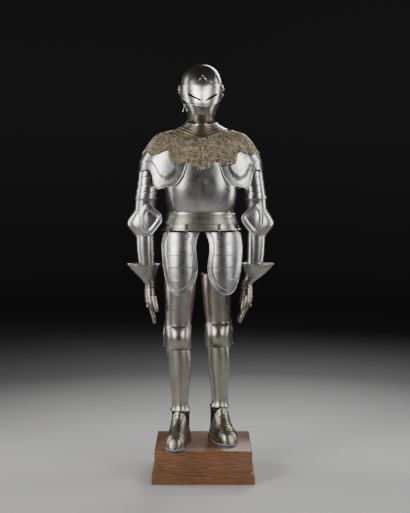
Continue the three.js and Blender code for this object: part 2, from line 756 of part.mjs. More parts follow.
// Legs: thigh plate, knee cop with a side wing, hinged greave and sabaton
const CUISSE = table("z a f b", [
  [945, 75, 87, 80],
  [890, 73, 90, 78],
  [834, 69, 81, 72],
  [770, 64, 72, 64],
  [716, 59, 64.5, 58],
  [692, 57, 62, 56],
]);
const POLEYN = table("z a f b n", [
  [712, 61.4, 67, 60, 2.2],
  [699, 62, 78, 60, 2.15],
  [680, 62, 87, 60, 2.1],
  [656, 61.5, 91, 60, 2.1],
  [631, 60.5, 86, 60, 2.1],
  [611, 59.5, 75, 60, 2.15],
  [598, 58, 63.6, 60, 2.2],
]);
const GREAVE = table("z a f b n", [
  [622, 54, 59, 54, 2.2],
  [590, 55.4, 60.6, 60, 2.2],
  [540, 57, 59, 66, 2.2],
  [484, 53, 55, 65, 2.2],
  [424, 44.5, 49, 54, 2.2],
  [366, 39, 44, 44, 2.2],
  [330, 39, 44, 42, 2.2],
  [312, 46, 52, 47, 2.2],
]);

function placed(rows, leg) {
  const line = LEG_LEVELS.map((z, i) => ({ z, x: leg.x[i] }));
  return rows.map((row) => ({ ...row, x: leg.side * at(line, row.z).x, y: leg.y }));
}

// The sabaton's arches lean: their crowns lie further forward than their feet
const SABATON = table("foot crown half height", [
  [34, -50, 47, 147.6],
  [14, -58, 48, 124],
  [-14, -72, 49, 100],
  [-44, -89, 50, 84],
  [-74, -106, 50, 72],
  [-100, -122, 48, 63],
]);
const TOE = table("foot crown half height", [
  [-92, -117, 51.8, 69.8],
  [-118, -134, 47, 58],
  [-140, -149, 39, 46],
  [-156, -159, 28, 30],
  [-165, -164, 16, 14],
  [-168, -168, 0.001, 0.001],
]);

function arches(rows, out = 0) {
  return rows.map(({ foot, crown, half, height }) => range(-90, 90, 10).map((angle) => {
    const rise = Math.cos(degrees(angle)) ** 0.8;
    const across = power(Math.sin(degrees(angle)), 0.85);
    return point((half + out) * across, foot + (crown - foot) * rise, FOOT_BASE + (height + out) * rise);
  }));
}

// The heel plate closes the back of the foot below the greave
const HEEL = table("z a f b", [
  [310.3, 45.4, 50, 46.4],
  [290, 42, 50, 48],
  [240, 42, 50, 56],
  [200, 43.4, 50, 62],
  [FOOT_BASE, 44, 50, 64],
]);

function sole() {
  const edge = [
    [0, 72], [26, 66], [41, 46], [45, 10], [50, -40],
    [53, -86], [49, -124], [37, -152], [18, -171], [0, -176],
  ];
  const outline = [...edge, ...edge.slice(1, -1).reverse().map(([x, y]) => [-x, y])].reverse();
  return stack([SOLE.bottom, SOLE.top].map((z) => outline.map(([x, y]) => point(x, y, z))));
}

function poleynWing(leg) {
  const rows = table("z reach half", [
    [722, 61.5, 10], [704, 64, 26], [668, 66.5, 40], [634, 66, 34], [606, 69, 12],
  ]);
  const x = (z) => leg.side * at(LEG_LEVELS.map((level, i) => ({ z: level, x: leg.x[i] })), z).x;
  const grid = rows.map(({ z, reach, half }) => range(-1, 1, 4).map((share) =>
    point(x(z) + leg.side * (reach + 3.5 - 3 * share ** 2), leg.y + 22 + share * half, z)));
  return shell(grid, STEEL, { inside: point(leg.side * 95, leg.y, 660) });
}

function legs() {
  for (const leg of LEGS) {
    const { side, name } = leg;
    const plate = (rows, angles) => shell(rings(placed(rows, leg), angles.map((angle) => side * angle)),
      STEEL, { inside: point(side * 95, leg.y, rows[3].z) });
    add(`cuisse_${name}`, plate(CUISSE, range(-84, 118, 12)), "steel");
    add(`poleyn_${name}`, plate(POLEYN, range(-92, 96, 12)), "steel");
    add(`poleyn_wing_${name}`, poleynWing(leg), "steel");
    add(`greave_front_${name}`, plate(GREAVE, range(-89.7, 89.7, 10)), "steel");
    add(`greave_back_${name}`, plate(GREAVE, range(90.3, 269.7, 8)), "steel");
    const foot = new THREE.Group();
    foot.position.set(side * leg.x[5], leg.y, 0);
    foot.rotation.z = degrees(side * FOOT_SPLAY);
    suit.add(foot);
    const under = { inside: point(0, -60, 0) };
    add(`sabaton_${name}`, shell(arches(SABATON), STEEL, under), "steel", foot);
    add(`sabaton_toe_${name}`, shell(arches(TOE), STEEL, under), "steel", foot);
    add(`heel_plate_${name}`, shell(rings(HEEL, range(100, 260, 8)), STEEL), "steel", foot);
    add(`sole_${name}`, sole(), "cloth", foot);
  }
}

plinth();
helmet();
gorget();
add("mail_cape", mailCape(), "mail");
torso();
fauld();
tassets();
arms();
legs();

export default object;
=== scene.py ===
"""A suit of steel plate armour with a mail cape, standing hollow on its wooden plinth."""

import math
import random
from functools import partial

import bmesh
import bpy
import numpy as np
from mathutils import Matrix, Vector, kdtree
from mathutils.bvhtree import BVHTree


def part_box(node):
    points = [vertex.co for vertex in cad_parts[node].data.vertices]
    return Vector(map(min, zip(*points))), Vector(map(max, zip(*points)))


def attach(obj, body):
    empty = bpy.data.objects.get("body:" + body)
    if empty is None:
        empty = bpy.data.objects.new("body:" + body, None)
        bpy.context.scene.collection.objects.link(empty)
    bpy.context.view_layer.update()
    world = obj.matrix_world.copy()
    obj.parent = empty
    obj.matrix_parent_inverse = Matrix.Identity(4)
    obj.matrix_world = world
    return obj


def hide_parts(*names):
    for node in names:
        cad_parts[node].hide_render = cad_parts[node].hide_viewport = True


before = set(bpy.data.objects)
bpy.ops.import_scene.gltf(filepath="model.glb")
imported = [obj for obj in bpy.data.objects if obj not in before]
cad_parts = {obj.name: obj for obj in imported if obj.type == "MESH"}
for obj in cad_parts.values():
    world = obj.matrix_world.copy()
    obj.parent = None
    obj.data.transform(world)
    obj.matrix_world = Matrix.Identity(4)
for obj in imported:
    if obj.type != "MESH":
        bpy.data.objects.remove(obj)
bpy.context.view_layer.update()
random.seed(7)

# The suit stands 11 mm left of the plinth's middle and is turned 4 degrees to its right
SUIT_TURN = math.radians(4)
SUIT = Matrix.Translation((-0.011, 0, 0)) @ Matrix.Rotation(SUIT_TURN, 4, "Z")
TURN = SUIT.to_3x3()
INWARD = TURN @ Vector((0, 1, 0))
UP = Vector((0, 0, 1))
SIDES = {"right": -1, "left": 1}


# The plinth: a joined box of stained wood with eased edges, a quarter-round moulding
# at its foot and a wider foot board. The front shows long wavy grain under old wax.
PLINTH_BEVEL = 0.005
MOULDING = {"out": 0.008, "top": 0.052}


def new_material(name, metallic=0.0, roughness=0.5, coat=0.0, sheen=0.0):
    material = bpy.data.materials.new(name)
    material.use_nodes = True
    shader = material.node_tree.nodes["Principled BSDF"]
    for socket, value in (("Metallic", metallic), ("Roughness", roughness),
                          ("Coat Weight", coat), ("Sheen Weight", sheen)):
        shader.inputs[socket].default_value = value
    return material, material.node_tree, shader


def new_node(graph, kind, inputs):
    """A node of a material, with each input set to its value or linked to its socket."""
    node = graph.nodes.new(kind)
    for name, value in inputs.items():
        if isinstance(value, bpy.types.NodeSocket):
            graph.links.new(value, node.inputs[name])
        else:
            node.inputs[name].default_value = value
    return node


def placed_coordinates(graph, scale=(1, 1, 1), turn=(0, 0, 0)):
    place = graph.nodes.new("ShaderNodeTexCoord").outputs["Object"]
    return new_node(graph, "ShaderNodeMapping",
                    {"Scale": scale, "Rotation": turn, "Vector": place}).outputs["Vector"]


def noise(graph, vector, scale, detail=4.0, roughness=0.55, distortion=0.0):
    return new_node(graph, "ShaderNodeTexNoise", {
        "Scale": scale, "Detail": detail, "Roughness": roughness, "Distortion": distortion,
        "Vector": vector}).outputs["Fac"]


def ramp(graph, value, stops):
    band = graph.nodes.new("ShaderNodeValToRGB")
    elements = band.color_ramp.elements
    while len(elements) < len(stops):
        elements.new(0.5)
    for element, (position, colour) in zip(elements, stops):
        element.position = position
        element.color = (*colour, 1)
    graph.links.new(value, band.inputs["Fac"])
    return band.outputs["Color"]


def spread(graph, value, low, high):
    """Spreads the middle of a noise over low to high."""
    return new_node(graph, "ShaderNodeMapRange", {
        "From Min": 0.3, "From Max": 0.7, "To Min": low, "To Max": high, "Value": value,
    }).outputs["Result"]


def mixed(graph, share, first, second, blend="MIX"):
    mix = graph.nodes.new("ShaderNodeMix")
    mix.data_type = "RGBA"
    mix.blend_type = blend
    if isinstance(share, float):
        mix.inputs["Factor"].default_value = share
    else:
        graph.links.new(share, mix.inputs["Factor"])
    for value, socket in ((first, mix.inputs["A"]), (second, mix.inputs["B"])):
        if isinstance(value, tuple):
            socket.default_value = (*value, 1)
        else:
            graph.links.new(value, socket)
    return mix.outputs["Result"]


def bumped(graph, shader, heights, distance):
    """Lays the heights over each other as bumps of the surface."""
    normal = {}
    for value, strength in heights:
        bump = new_node(graph, "ShaderNodeBump", {
            "Strength": strength, "Distance": distance, "Height": value, **normal})
        normal = {"Normal": bump.outputs["Normal"]}
    graph.links.new(normal["Normal"], shader.inputs["Normal"])


def stained_wood():
    material, graph, shader = new_material("stained_wood", roughness=0.38, coat=0.25)
    along = placed_coordinates(graph, scale=(0.9, 5, 5.5))
    wave = new_node(graph, "ShaderNodeTexWave", {
        "Scale": 6.5, "Distortion": 11.0, "Detail": 4.0, "Detail Scale": 1.6, "Vector": along})
    wave.bands_direction = "Z"
    pores = noise(graph, placed_coordinates(graph, scale=(14, 420, 420)), 1.0, 5)
    patch = noise(graph, placed_coordinates(graph), 5.0, 3)
    grain = ramp(graph, wave.outputs["Fac"], [
        (0.0, (0.150, 0.066, 0.029)), (0.45, (0.205, 0.094, 0.042)), (1.0, (0.270, 0.130, 0.060)),
    ])
    fleck = ramp(graph, pores, [(0.35, (0.45, 0.42, 0.4)), (0.62, (1, 1, 1))])
    aged = ramp(graph, patch, [(0.3, (0.72, 0.68, 0.66)), (0.7, (1.12, 1.08, 1.04))])
    colour = mixed(graph, 0.8, grain, fleck, "MULTIPLY")
    colour = mixed(graph, 1.0, colour, aged, "MULTIPLY")
    graph.links.new(colour, shader.inputs["Base Color"])
    graph.links.new(spread(graph, patch, 0.30, 0.5), shader.inputs["Roughness"])
    bumped(graph, shader, [(pores, 0.25), (wave.outputs["Fac"], 0.08)], 0.0006)
    return material


WOOD = stained_wood()


def added(name, data):
    """A new object in the scene."""
    thing = bpy.data.objects.new(name, data)
    bpy.context.scene.collection.objects.link(thing)
    return thing


def shown(name, bm, material, body="root", nodes=(), wall=0.0, edge=0.0):
    """Makes an object of a bmesh, finishes its edges and joins it to its body."""
    mesh = bpy.data.meshes.new(name)
    bm.to_mesh(mesh)
    bm.free()
    mesh.materials.append(material)
    mesh.polygons.foreach_set("use_smooth", [True] * len(mesh.polygons))
    piece = added(name, mesh)
    if wall:
        thick = piece.modifiers.new("Wall", "SOLIDIFY")
        thick.thickness = wall
        thick.offset = -1
        thick.use_even_offset = True
    if edge:
        ease = piece.modifiers.new("Eased", "BEVEL")
        ease.width = edge
        ease.segments = 2
        ease.limit_method = "ANGLE"
        ease.angle_limit = math.radians(50)
        ease.harden_normals = True
    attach(piece, body)
    if nodes:
        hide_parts(*nodes)
    return piece


def block(low, high):
    """A rectangular block between two corners."""
    bm = bmesh.new()
    bmesh.ops.create_cube(bm, size=1)
    bmesh.ops.scale(bm, vec=Vector(high) - Vector(low), verts=bm.verts)
    bmesh.ops.translate(bm, vec=(Vector(low) + Vector(high)) / 2, verts=bm.verts)
    return bm


def eased_block(low, high, width, segments):
    """A block whose top and upright edges are rounded."""
    bm = block(low, high)
    edges = [e for e in bm.edges if max(v.co.z for v in e.verts) > low[2] + 1e-6]
    bmesh.ops.bevel(bm, geom=edges, offset=width, segments=segments, profile=0.5,
                    affect="EDGES", material=-1)
    return bm


board_low, board_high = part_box("plinth_foot_board")
block_low, block_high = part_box("plinth_block")
shown("plinth_foot_board_wood", eased_block(board_low, board_high, PLINTH_BEVEL, 4), WOOD,
      nodes=["plinth_foot_board"], edge=0.0006)
shown("plinth_block_wood", eased_block(block_low, block_high, PLINTH_BEVEL, 4), WOOD,
      nodes=["plinth_block"], edge=0.0006)
around = Vector((MOULDING["out"], MOULDING["out"], 0))
shown("plinth_moulding",
      eased_block(block_low - around, (*(block_high + around).xy, MOULDING["top"]), 0.007, 5), WOOD,
      edge=0.0004)


# Each sole is stiff and covered in slate-blue cloth.
# It stands flat on the plinth under the foot plates.
def slate_cloth():
    material, graph, shader = new_material("slate_cloth", roughness=0.9, sheen=0.25)
    weave = []
    for turn in (0, math.pi / 2):
        weave.append(new_node(graph, "ShaderNodeTexWave", {
            "Scale": 420, "Distortion": 0.6, "Vector": placed_coordinates(graph, turn=(0, 0, turn)),
        }).outputs["Fac"])
    patch = noise(graph, placed_coordinates(graph), 26, 4)
    colour = ramp(graph, patch, [(0.3, (0.105, 0.15, 0.235)), (0.7, (0.19, 0.25, 0.36))])
    thread = ramp(graph, weave[0], [(0, (0.72, 0.72, 0.72)), (1, (1.1, 1.1, 1.1))])
    graph.links.new(mixed(graph, 0.7, colour, thread, "MULTIPLY"), shader.inputs["Base Color"])
    bumped(graph, shader, [(weave[0], 0.5), (weave[1], 0.5)], 0.0004)
    return material


CLOTH = slate_cloth()


def merged(node):
    """A copy of a CAD node's mesh with its loose triangles joined up."""
    bm = bmesh.new()
    bm.from_mesh(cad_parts[node].data)
    bmesh.ops.remove_doubles(bm, verts=bm.verts[:], dist=2e-5)
    return bm


for name in SIDES:
    bm = merged(f"sole_{name}")
    flat = math.radians(1)
    bmesh.ops.dissolve_limit(bm, angle_limit=flat, verts=bm.verts[:], edges=bm.edges[:])
    shown(f"sole_cloth_{name}", bm, CLOTH, nodes=[f"sole_{name}"], edge=0.0022)


# The plates are hammered from sheet steel and planished, then polished with grit to a
# satin face. Age has left soft grey blotches, brown stain and fine streaks on them.
STEEL_WALL = 0.0016
LAME_RISE = 0.0013
LAME_LENGTH = 0.03
PLATE_EDGE = 0.0004
RIM_RADIUS = 0.0022
RIVET_RADIUS = 0.0028


def satin_steel(name, light, dark, smooth, rough):
    material, graph, shader = new_material(name, metallic=1.0)
    plain = placed_coordinates(graph)
    blotch = noise(graph, plain, 5.5, 5, 0.6, 0.4)
    stain = noise(graph, plain, 17, 6, 0.65, 0.8)
    pits = noise(graph, plain, 190, 3)
    brushing = noise(graph, placed_coordinates(graph, scale=(260, 260, 9)), 1.0, 3)
    clean = ramp(graph, blotch, [(0.32, dark), (0.6, light)])
    brown = tuple(part * tint for part, tint in zip(dark, (0.82, 0.70, 0.52)))
    rust = ramp(graph, stain, [(0.52, (0, 0, 0)), (0.74, (0.75, 0.75, 0.75))])
    colour = mixed(graph, rust, clean, brown)
    speck = ramp(graph, pits, [(0.30, (0.55, 0.53, 0.5)), (0.42, (1, 1, 1))])
    colour = mixed(graph, 0.7, colour, speck, "MULTIPLY")
    graph.links.new(colour, shader.inputs["Base Color"])
    graph.links.new(spread(graph, stain, smooth, rough), shader.inputs["Roughness"])
    bumped(graph, shader, [(blotch, 0.10), (brushing, 0.04), (pits, 0.04)], 0.0012)
    return material


STEEL = satin_steel("satin_steel", (0.56, 0.56, 0.55), (0.42, 0.415, 0.40), 0.25, 0.38)
LOW_STEEL = satin_steel("leg_steel", (0.43, 0.405, 0.36), (0.29, 0.265, 0.225), 0.27, 0.42)
# A darker, browner copy of the steel for the feet and hands.
FOOT_HAND_STEEL = satin_steel("foot_and_hand_steel", (0.36, 0.33, 0.285), (0.22, 0.195, 0.16), 0.28, 0.44)
FAULD_STEEL = satin_steel("fauld_steel", (0.53, 0.49, 0.43), (0.38, 0.335, 0.28), 0.26, 0.40)
FITTING = satin_steel("fitting_steel", (0.58, 0.56, 0.52), (0.34, 0.31, 0.27), 0.22, 0.36)
KNEE = math.radians(62)


def outer_face(node):
    """The outer face of one plate, as an open sheet of quads."""
    bm = merged(node)
    left = set(bm.faces)
    largest, most = set(), 0.0
    while left:
        group, front = set(), [left.pop()]
        while front:
            face = front.pop()
            group.add(face)
            for edge in face.edges:
                if edge.calc_face_angle(math.pi) < KNEE:
                    beyond = [f for f in edge.link_faces if f in left]
                    left.difference_update(beyond)
                    front.extend(beyond)
        area = sum(face.calc_area() for face in group)
        if area > most:
            largest, most = group, area
    bmesh.ops.delete(bm, geom=[f for f in bm.faces if f not in largest], context="FACES")
    bmesh.ops.join_triangles(bm, faces=bm.faces[:], angle_face_threshold=math.radians(50),
                             angle_shape_threshold=math.radians(80), topology_influence=1.4)
    return bm


def fitted(bm):
    """Moves the corners out by what smoothing takes away."""
    moved = []
    for vert in bm.verts:
        edges = vert.link_edges
        if vert.is_boundary:
            ends = [e.other_vert(vert).co for e in edges if e.is_boundary]
            limit = (4 * vert.co + ends[0] + ends[1]) / 6 if len(ends) == 2 else vert.co
        else:
            count = len(edges)
            near = sum((e.other_vert(vert).co for e in edges), Vector())
            far = Vector()
            for face in vert.link_faces:
                far += 4 * face.calc_center_median() - vert.co
                far -= sum((v.co for v in face.verts
                            if v != vert and any(e.other_vert(vert) == v for e in edges)), Vector())
            limit = (count ** 2 * vert.co + 4 * near + far) / (count * (count + 5))
        moved.append((vert, vert.co + (vert.co - limit)))
    for vert, place in moved:
        vert.co = place


def smoothed(bm, levels):
    """The same sheet with its curves smoothed out in finer quads."""
    fitted(bm)
    mesh = bpy.data.meshes.new("work")
    bm.to_mesh(mesh)
    bm.free()
    work = added("work", mesh)
    smooth = work.modifiers.new("Smooth", "SUBSURF")
    smooth.levels = smooth.render_levels = levels
    fine = bmesh.new()
    fine.from_object(work, bpy.context.evaluated_depsgraph_get())
    bpy.data.objects.remove(work)
    bpy.data.meshes.remove(mesh)
    return fine


def raised(bm, height):
    """Hammers the sheet out along its own face by height(place)."""
    bm.normal_update()
    for vert, normal in [(v, v.normal.copy()) for v in bm.verts]:
        vert.co += normal * height(vert.co)


def everywhere(co):
    return True


def with_parts(faces):
    """The corners and edges of some faces, and the faces."""
    corners = dict.fromkeys(v for f in faces for v in f.verts)
    edges = dict.fromkeys(e for f in faces for e in f.edges)
    return [*corners, *edges, *faces]


def lames(bm, cuts, rise, length, inside=everywhere):
    """Parts the sheet into lames: the free edge of each one stands proud of the next."""
    for place, toward in cuts:
        faces = [f for f in bm.faces if inside(f.calc_center_median())]
        cut = bmesh.ops.bisect_plane(bm, geom=with_parts(faces), dist=1e-6, plane_co=place,
                                     plane_no=toward)
        line = [g for g in cut["geom_cut"] if isinstance(g, bmesh.types.BMEdge)]
        bmesh.ops.split_edges(bm, edges=line)
    bm.normal_update()
    lifts = []
    for vert in bm.verts:
        if not vert.link_faces or not inside(vert.co):
            continue
        centre = vert.link_faces[0].calc_center_median()
        behind = [i for i, (place, toward) in enumerate(cuts) if (centre - place).dot(toward) > 0]
        number = len(behind)
        start = (vert.co - cuts[number - 1][0]).dot(cuts[number - 1][1]) if number else None
        end = -(vert.co - cuts[number][0]).dot(cuts[number][1]) if number < len(cuts) else None
        if start is None:
            share = max(0.0, 1 - end / length)
        elif end is None:
            share = 0.0
        else:
            share = start / max(start + end, 1e-6)
        lifts.append((vert, vert.normal * rise * share))
    for vert, lift in lifts:
        vert.co += lift


def level_cuts(levels):
    """Cuts across at these heights in millimetres, the highest first."""
    return [(Vector((0, 0, z / 1000)), Vector((0, 0, -1))) for z in sorted(levels, reverse=True)]


def edge_chains(bm, keep):
    """The open edges of a sheet that keep(place) picks, in order, as rows of places."""
    edges = dict.fromkeys(e for e in bm.edges if e.is_boundary and all(keep(v.co) for v in e.verts))
    chains = []
    while edges:
        edge, _ = edges.popitem()
        chain = list(edge.verts)
        for end in (0, -1):
            while True:
                tip = chain[end]
                following = next((e for e in tip.link_edges if e in edges), None)
                if not following:
                    break
                del edges[following]
                new = following.other_vert(tip)
                chain.insert(0, new) if end == 0 else chain.append(new)
        chains.append([v.co.copy() for v in chain])
    return chains


def bead(chains, radius, sides=8):
    """A round bead along rows of places, as a turned edge or a ridge line."""
    curve = bpy.data.curves.new("bead", "CURVE")
    curve.dimensions = "3D"
    curve.bevel_depth = radius
    curve.bevel_resolution = max(0, sides // 4 - 1)
    curve.use_fill_caps = True
    for chain in chains:
        closed = (chain[0] - chain[-1]).length < 1e-6
        line = curve.splines.new("POLY")
        places = chain[:-1] if closed else chain
        line.points.add(len(places) - 1)
        for point, place in zip(line.points, places):
            point.co = (*place, 1)
        line.use_cyclic_u = closed
    work = added("bead", curve)
    bm = bmesh.new()
    mesh = bpy.data.meshes.new_from_object(work.evaluated_get(bpy.context.evaluated_depsgraph_get()))
    bm.from_mesh(mesh)
    bpy.data.meshes.remove(mesh)
    bpy.data.objects.remove(work)
    bpy.data.curves.remove(curve)
    return bm


def joined(bms):
    """Several bmeshes in one."""
    whole = bmesh.new()
    for bm in bms:
        mesh = bpy.data.meshes.new("part")
        bm.to_mesh(mesh)
        bm.free()
        whole.from_mesh(mesh)
        bpy.data.meshes.remove(mesh)
    return whole


def rivets(tree, places, radius=RIVET_RADIUS):
    """Domed rivet heads set where rays (start, direction) meet a plate."""
    bm = bmesh.new()
    for start, direction in places:
        hit, normal, _, _ = tree.ray_cast(Vector(start), Vector(direction).normalized())
        if hit is None:
            continue
        if normal.dot(Vector(direction)) > 0:
            normal = -normal
        turn = normal.to_track_quat("Z", "Y").to_matrix().to_4x4()
        shape = Matrix.Translation(hit) @ turn @ Matrix.Diagonal((1, 1, 0.6, 1))
        bmesh.ops.create_uvsphere(bm, u_segments=10, v_segments=6, radius=radius, matrix=shape)
    return bm


def walled(name, bm, node, material=STEEL, body="root", ease=PLATE_EDGE):
    """Shows a sheet as steel of one thickness over its CAD node. Returns its tree."""
    tree = BVHTree.FromBMesh(bm)
    shown(name, bm, material, body, [node], wall=STEEL_WALL, edge=ease)
    return tree


def turned_edge(name, chains, radius, material=STEEL, body="root"):
    shown(name, bead(chains, radius), material, body)


def fitting(name, bm, body="root", nodes=(), edge=0.0):
    """Shows rivets and other small fittings."""
    shown(name, bm, FITTING, body, nodes, edge=edge)


def plate(name, node, material=STEEL, levels=2, height=None, cuts=(), rise=LAME_RISE,
          length=LAME_LENGTH, rims=None, rim=RIM_RADIUS):
    """A steel plate over its CAD node, with its lames and turned edges. Returns its tree."""
    bm = smoothed(outer_face(node), levels)
    if height:
        raised(bm, height)
    edges = edge_chains(bm, rims) if rims else []
    if cuts:
        lames(bm, cuts, rise, length)
    tree = walled(name, bm, node, material)
    if edges:
        turned_edge(f"{name}_edge", edges, rim, material)
    return tree


# Each foot has a heel plate, a sabaton of narrow lames that overlap towards the toes,
# and a domed toe cap. The lames turn on small rivets along their lower edges.
ANKLES = {"right": (-0.100, -0.040), "left": (0.092, 0.040)}
FOOT_SPLAY = math.radians(14)
FOOT_BASE = 0.1608
FOOT_EDGE = FOOT_BASE + 0.003
LAME_LINES = [(24, -54, 136), (8, -62, 118), (-8, -70, 104), (-25, -79, 94),
              (-42, -88, 85), (-59, -97, 78), (-76, -107, 71)]
TOE_LINES = [(-106, -126, 64), (-120, -136, 57)]


def below(level):
    """Picks the places that lie under a level, in metres."""
    return lambda co: co.z < level


def foot_matrix(name):
    x, y = ANKLES[name]
    return SUIT @ Matrix.Translation((x, y, 0)) @ Matrix.Rotation(SIDES[name] * FOOT_SPLAY, 4, "Z")


def arch_cuts(name, lines):
    """Leaning cuts across a foot: y at the sole, y at the crown and the crown's height."""
    place = foot_matrix(name)
    cuts = []
    for foot, crown, rise in lines:
        toward = Vector((0, -rise, crown - foot)).normalized()
        if toward.y > 0:
            toward = -toward
        cuts.append((place @ Vector((0, foot / 1000, FOOT_BASE)), place.to_3x3() @ toward))
    return cuts


for name in SIDES:
    place = foot_matrix(name)
    sabaton = plate(f"sabaton_lames_{name}", f"sabaton_{name}", FOOT_HAND_STEEL, 2,
                    cuts=arch_cuts(name, LAME_LINES), rise=0.0018, length=0.02)
    toe = plate(f"toe_cap_{name}", f"sabaton_toe_{name}", FOOT_HAND_STEEL, 2,
                cuts=arch_cuts(name, TOE_LINES), rise=0.0016, length=0.02,
                rims=below(FOOT_EDGE), rim=0.0018)
    plate(f"heel_{name}", f"heel_plate_{name}", FOOT_HAND_STEEL, 2,
          cuts=level_cuts([284, 262]), rims=below(FOOT_EDGE), rim=0.0018)
    heads = [rivets(tree, [(place @ Vector((turn * 0.12, y / 1000, FOOT_BASE + 0.012)),
                            place.to_3x3() @ Vector((-turn, 0, 0))) for turn in (-1, 1) for y in spots])
             for tree, spots in ((sabaton, (15, -1, -17, -34, -51, -68, -84)), (toe, (-112,)))]
    fitting(f"foot_rivets_{name}", joined(heads))


# Greaves close round the calf in two halves on side hinges, and flare at the ankle over
# the sabaton. The knee cop has a lame above and below it, and a fan-shaped side wing.
LEG_X = {"right": [(945, 100), (834, 103), (709, 110), (650, 110), (533, 101), (343, 100)],
         "left": [(945, 77), (834, 79), (709, 84), (650, 81), (533, 89), (343, 92)]}
GREAVE_ENDS = (0.314, 0.62)
THIGH_TOP = 0.944
HINGE_RADIUS = 0.0028


def leg_axis(name, z):
    """The middle of a leg at a height in metres."""
    rows = [(level / 1000, x / 1000) for level, x in LEG_X[name]]
    x = float(np.interp(z, [r[0] for r in reversed(rows)], [r[1] for r in reversed(rows)]))
    return SUIT @ Vector((SIDES[name] * x, ANKLES[name][1], z))


def ridge(axis, high, wide):
    """A soft keel down the front of a plate round an axis(z)."""
    def height(co):
        middle = axis(co.z)
        away = math.atan2(co.x - middle.x, middle.y - co.y) - SUIT_TURN
        return high * math.exp(-(away / wide) ** 2) if abs(away) < 1.2 else 0.0
    return height


def above(level):
    return lambda co: co.z > level


def outside(low, high):
    """Picks the places under one level and over another."""
    return lambda co: co.z < low or co.z > high


for name, side in SIDES.items():
    axis = partial(leg_axis, name)
    shin = plate(f"greave_shin_{name}", f"greave_front_{name}", LOW_STEEL, 2,
                 height=ridge(axis, 0.0035, 0.34), rims=outside(*GREAVE_ENDS), rim=0.0026)
    calf = plate(f"greave_calf_{name}", f"greave_back_{name}", LOW_STEEL, 2,
                 rims=outside(*GREAVE_ENDS), rim=0.0026)
    knee = plate(f"knee_cop_{name}", f"poleyn_{name}", LOW_STEEL, 2,
                 cuts=level_cuts([699, 611]), rise=0.0014, length=0.01)
    plate(f"knee_wing_{name}", f"poleyn_wing_{name}", LOW_STEEL, 3, rims=everywhere, rim=0.0018)
    thigh = plate(f"thigh_plate_{name}", f"cuisse_{name}", LOW_STEEL, 2,
                  height=ridge(axis, 0.002, 0.4), cuts=level_cuts([716]), rise=0.0015,
                  length=0.014, rims=above(THIGH_TOP), rim=0.003)
    out = TURN @ Vector((side, 0, 0))
    heads = []
    for tree, levels, y in ((knee, (0.705, 0.692, 0.618, 0.605), 0.0), (shin, (0.60, 0.33), -0.02),
                            (calf, (0.60, 0.33), 0.014), (thigh, (0.722, 0.80, 0.90), 0.01)):
        spots = [(axis(z) + out * turn * 0.16 + Vector((0, y, 0)), -out * turn)
                 for z in levels for turn in (-1, 1)]
        heads.append(rivets(tree, spots))
    fitting(f"leg_rivets_{name}", joined(heads))
    hinges = []
    for z in (0.36, 0.47, 0.585):
        hit, normal, _, _ = shin.ray_cast(axis(z) + out * 0.16 + Vector((0, -0.006, 0)), -out)
        if hit is None:
            continue
        knuckle = bmesh.new()
        middle = Matrix.Translation(hit + Vector((0, 0.006, 0)))
        bmesh.ops.create_cone(knuckle, cap_ends=True, segments=10, radius1=HINGE_RADIUS,
                              radius2=HINGE_RADIUS, depth=0.022, matrix=middle)
        hinges.append(knuckle)
    fitting(f"greave_hinges_{name}", joined(hinges), edge=0.0004)


# The body: a globose breastplate with a soft keel, a backplate, and a fauld of three
# lames that flares over the hips. Waist and hem are turned over into round edges.
WAIST_EDGE = 1.2296
HEM_EDGE = 1.1572
FAULD = {"levels": 3, "cuts": level_cuts([1211, 1185]), "rise": 0.0022, "length": 0.02,
         "rims": below(HEM_EDGE), "rim": 0.0032}


def trunk_axis(z):
    return SUIT @ Vector((0, 0, z))


def eased_step(value, start, width):
    share = min(1.0, max(0.0, (value - start) / width))
    return share * share * (3 - 2 * share)


def breast_keel(co):
    """The soft keel of the breast, which fades out above the waist and below the mail."""
    shown_share = eased_step(co.z, 1.24, 0.06) * (1 - eased_step(co.z, 1.36, 0.06))
    return ridge(trunk_axis, 0.0022, 0.12)(co) * shown_share


breast = plate("breast_steel", "breastplate", levels=3, height=breast_keel,
               rims=below(WAIST_EDGE), rim=0.0032)
back = plate("back_steel", "backplate", levels=3, rims=below(WAIST_EDGE), rim=0.0032)
fauld = plate("fauld_lames_front", "fauld_front", FAULD_STEEL, **FAULD)
skirt = plate("fauld_lames_back", "fauld_back", FAULD_STEEL, **FAULD)


def way_out(angle):
    """The level way out from the suit's middle: 0 is its front and 90 its left arm."""
    turn = math.radians(angle)
    return TURN @ Vector((math.sin(turn), -math.cos(turn), 0))


def ring_of_rivets(tree, middle, angles, reach=0.4, radius=RIVET_RADIUS):
    """Rivets on a plate at these angles round one place inside it."""
    return rivets(tree, [(middle + way_out(angle) * reach, -way_out(angle)) for angle in angles], radius)


fitting("body_rivets", joined([
    ring_of_rivets(tree, trunk_axis(z), angles) for tree, z, angles in (
        (fauld, 1.220, (-62, -30, 30, 62)), (fauld, 1.168, (-74, 74)),
        (skirt, 1.220, (118, 150, 210, 242)), (breast, 1.245, (-70, 70)),
        (fauld, 1.192, (-78, 78)), (back, 1.245, (110, 250)))]))


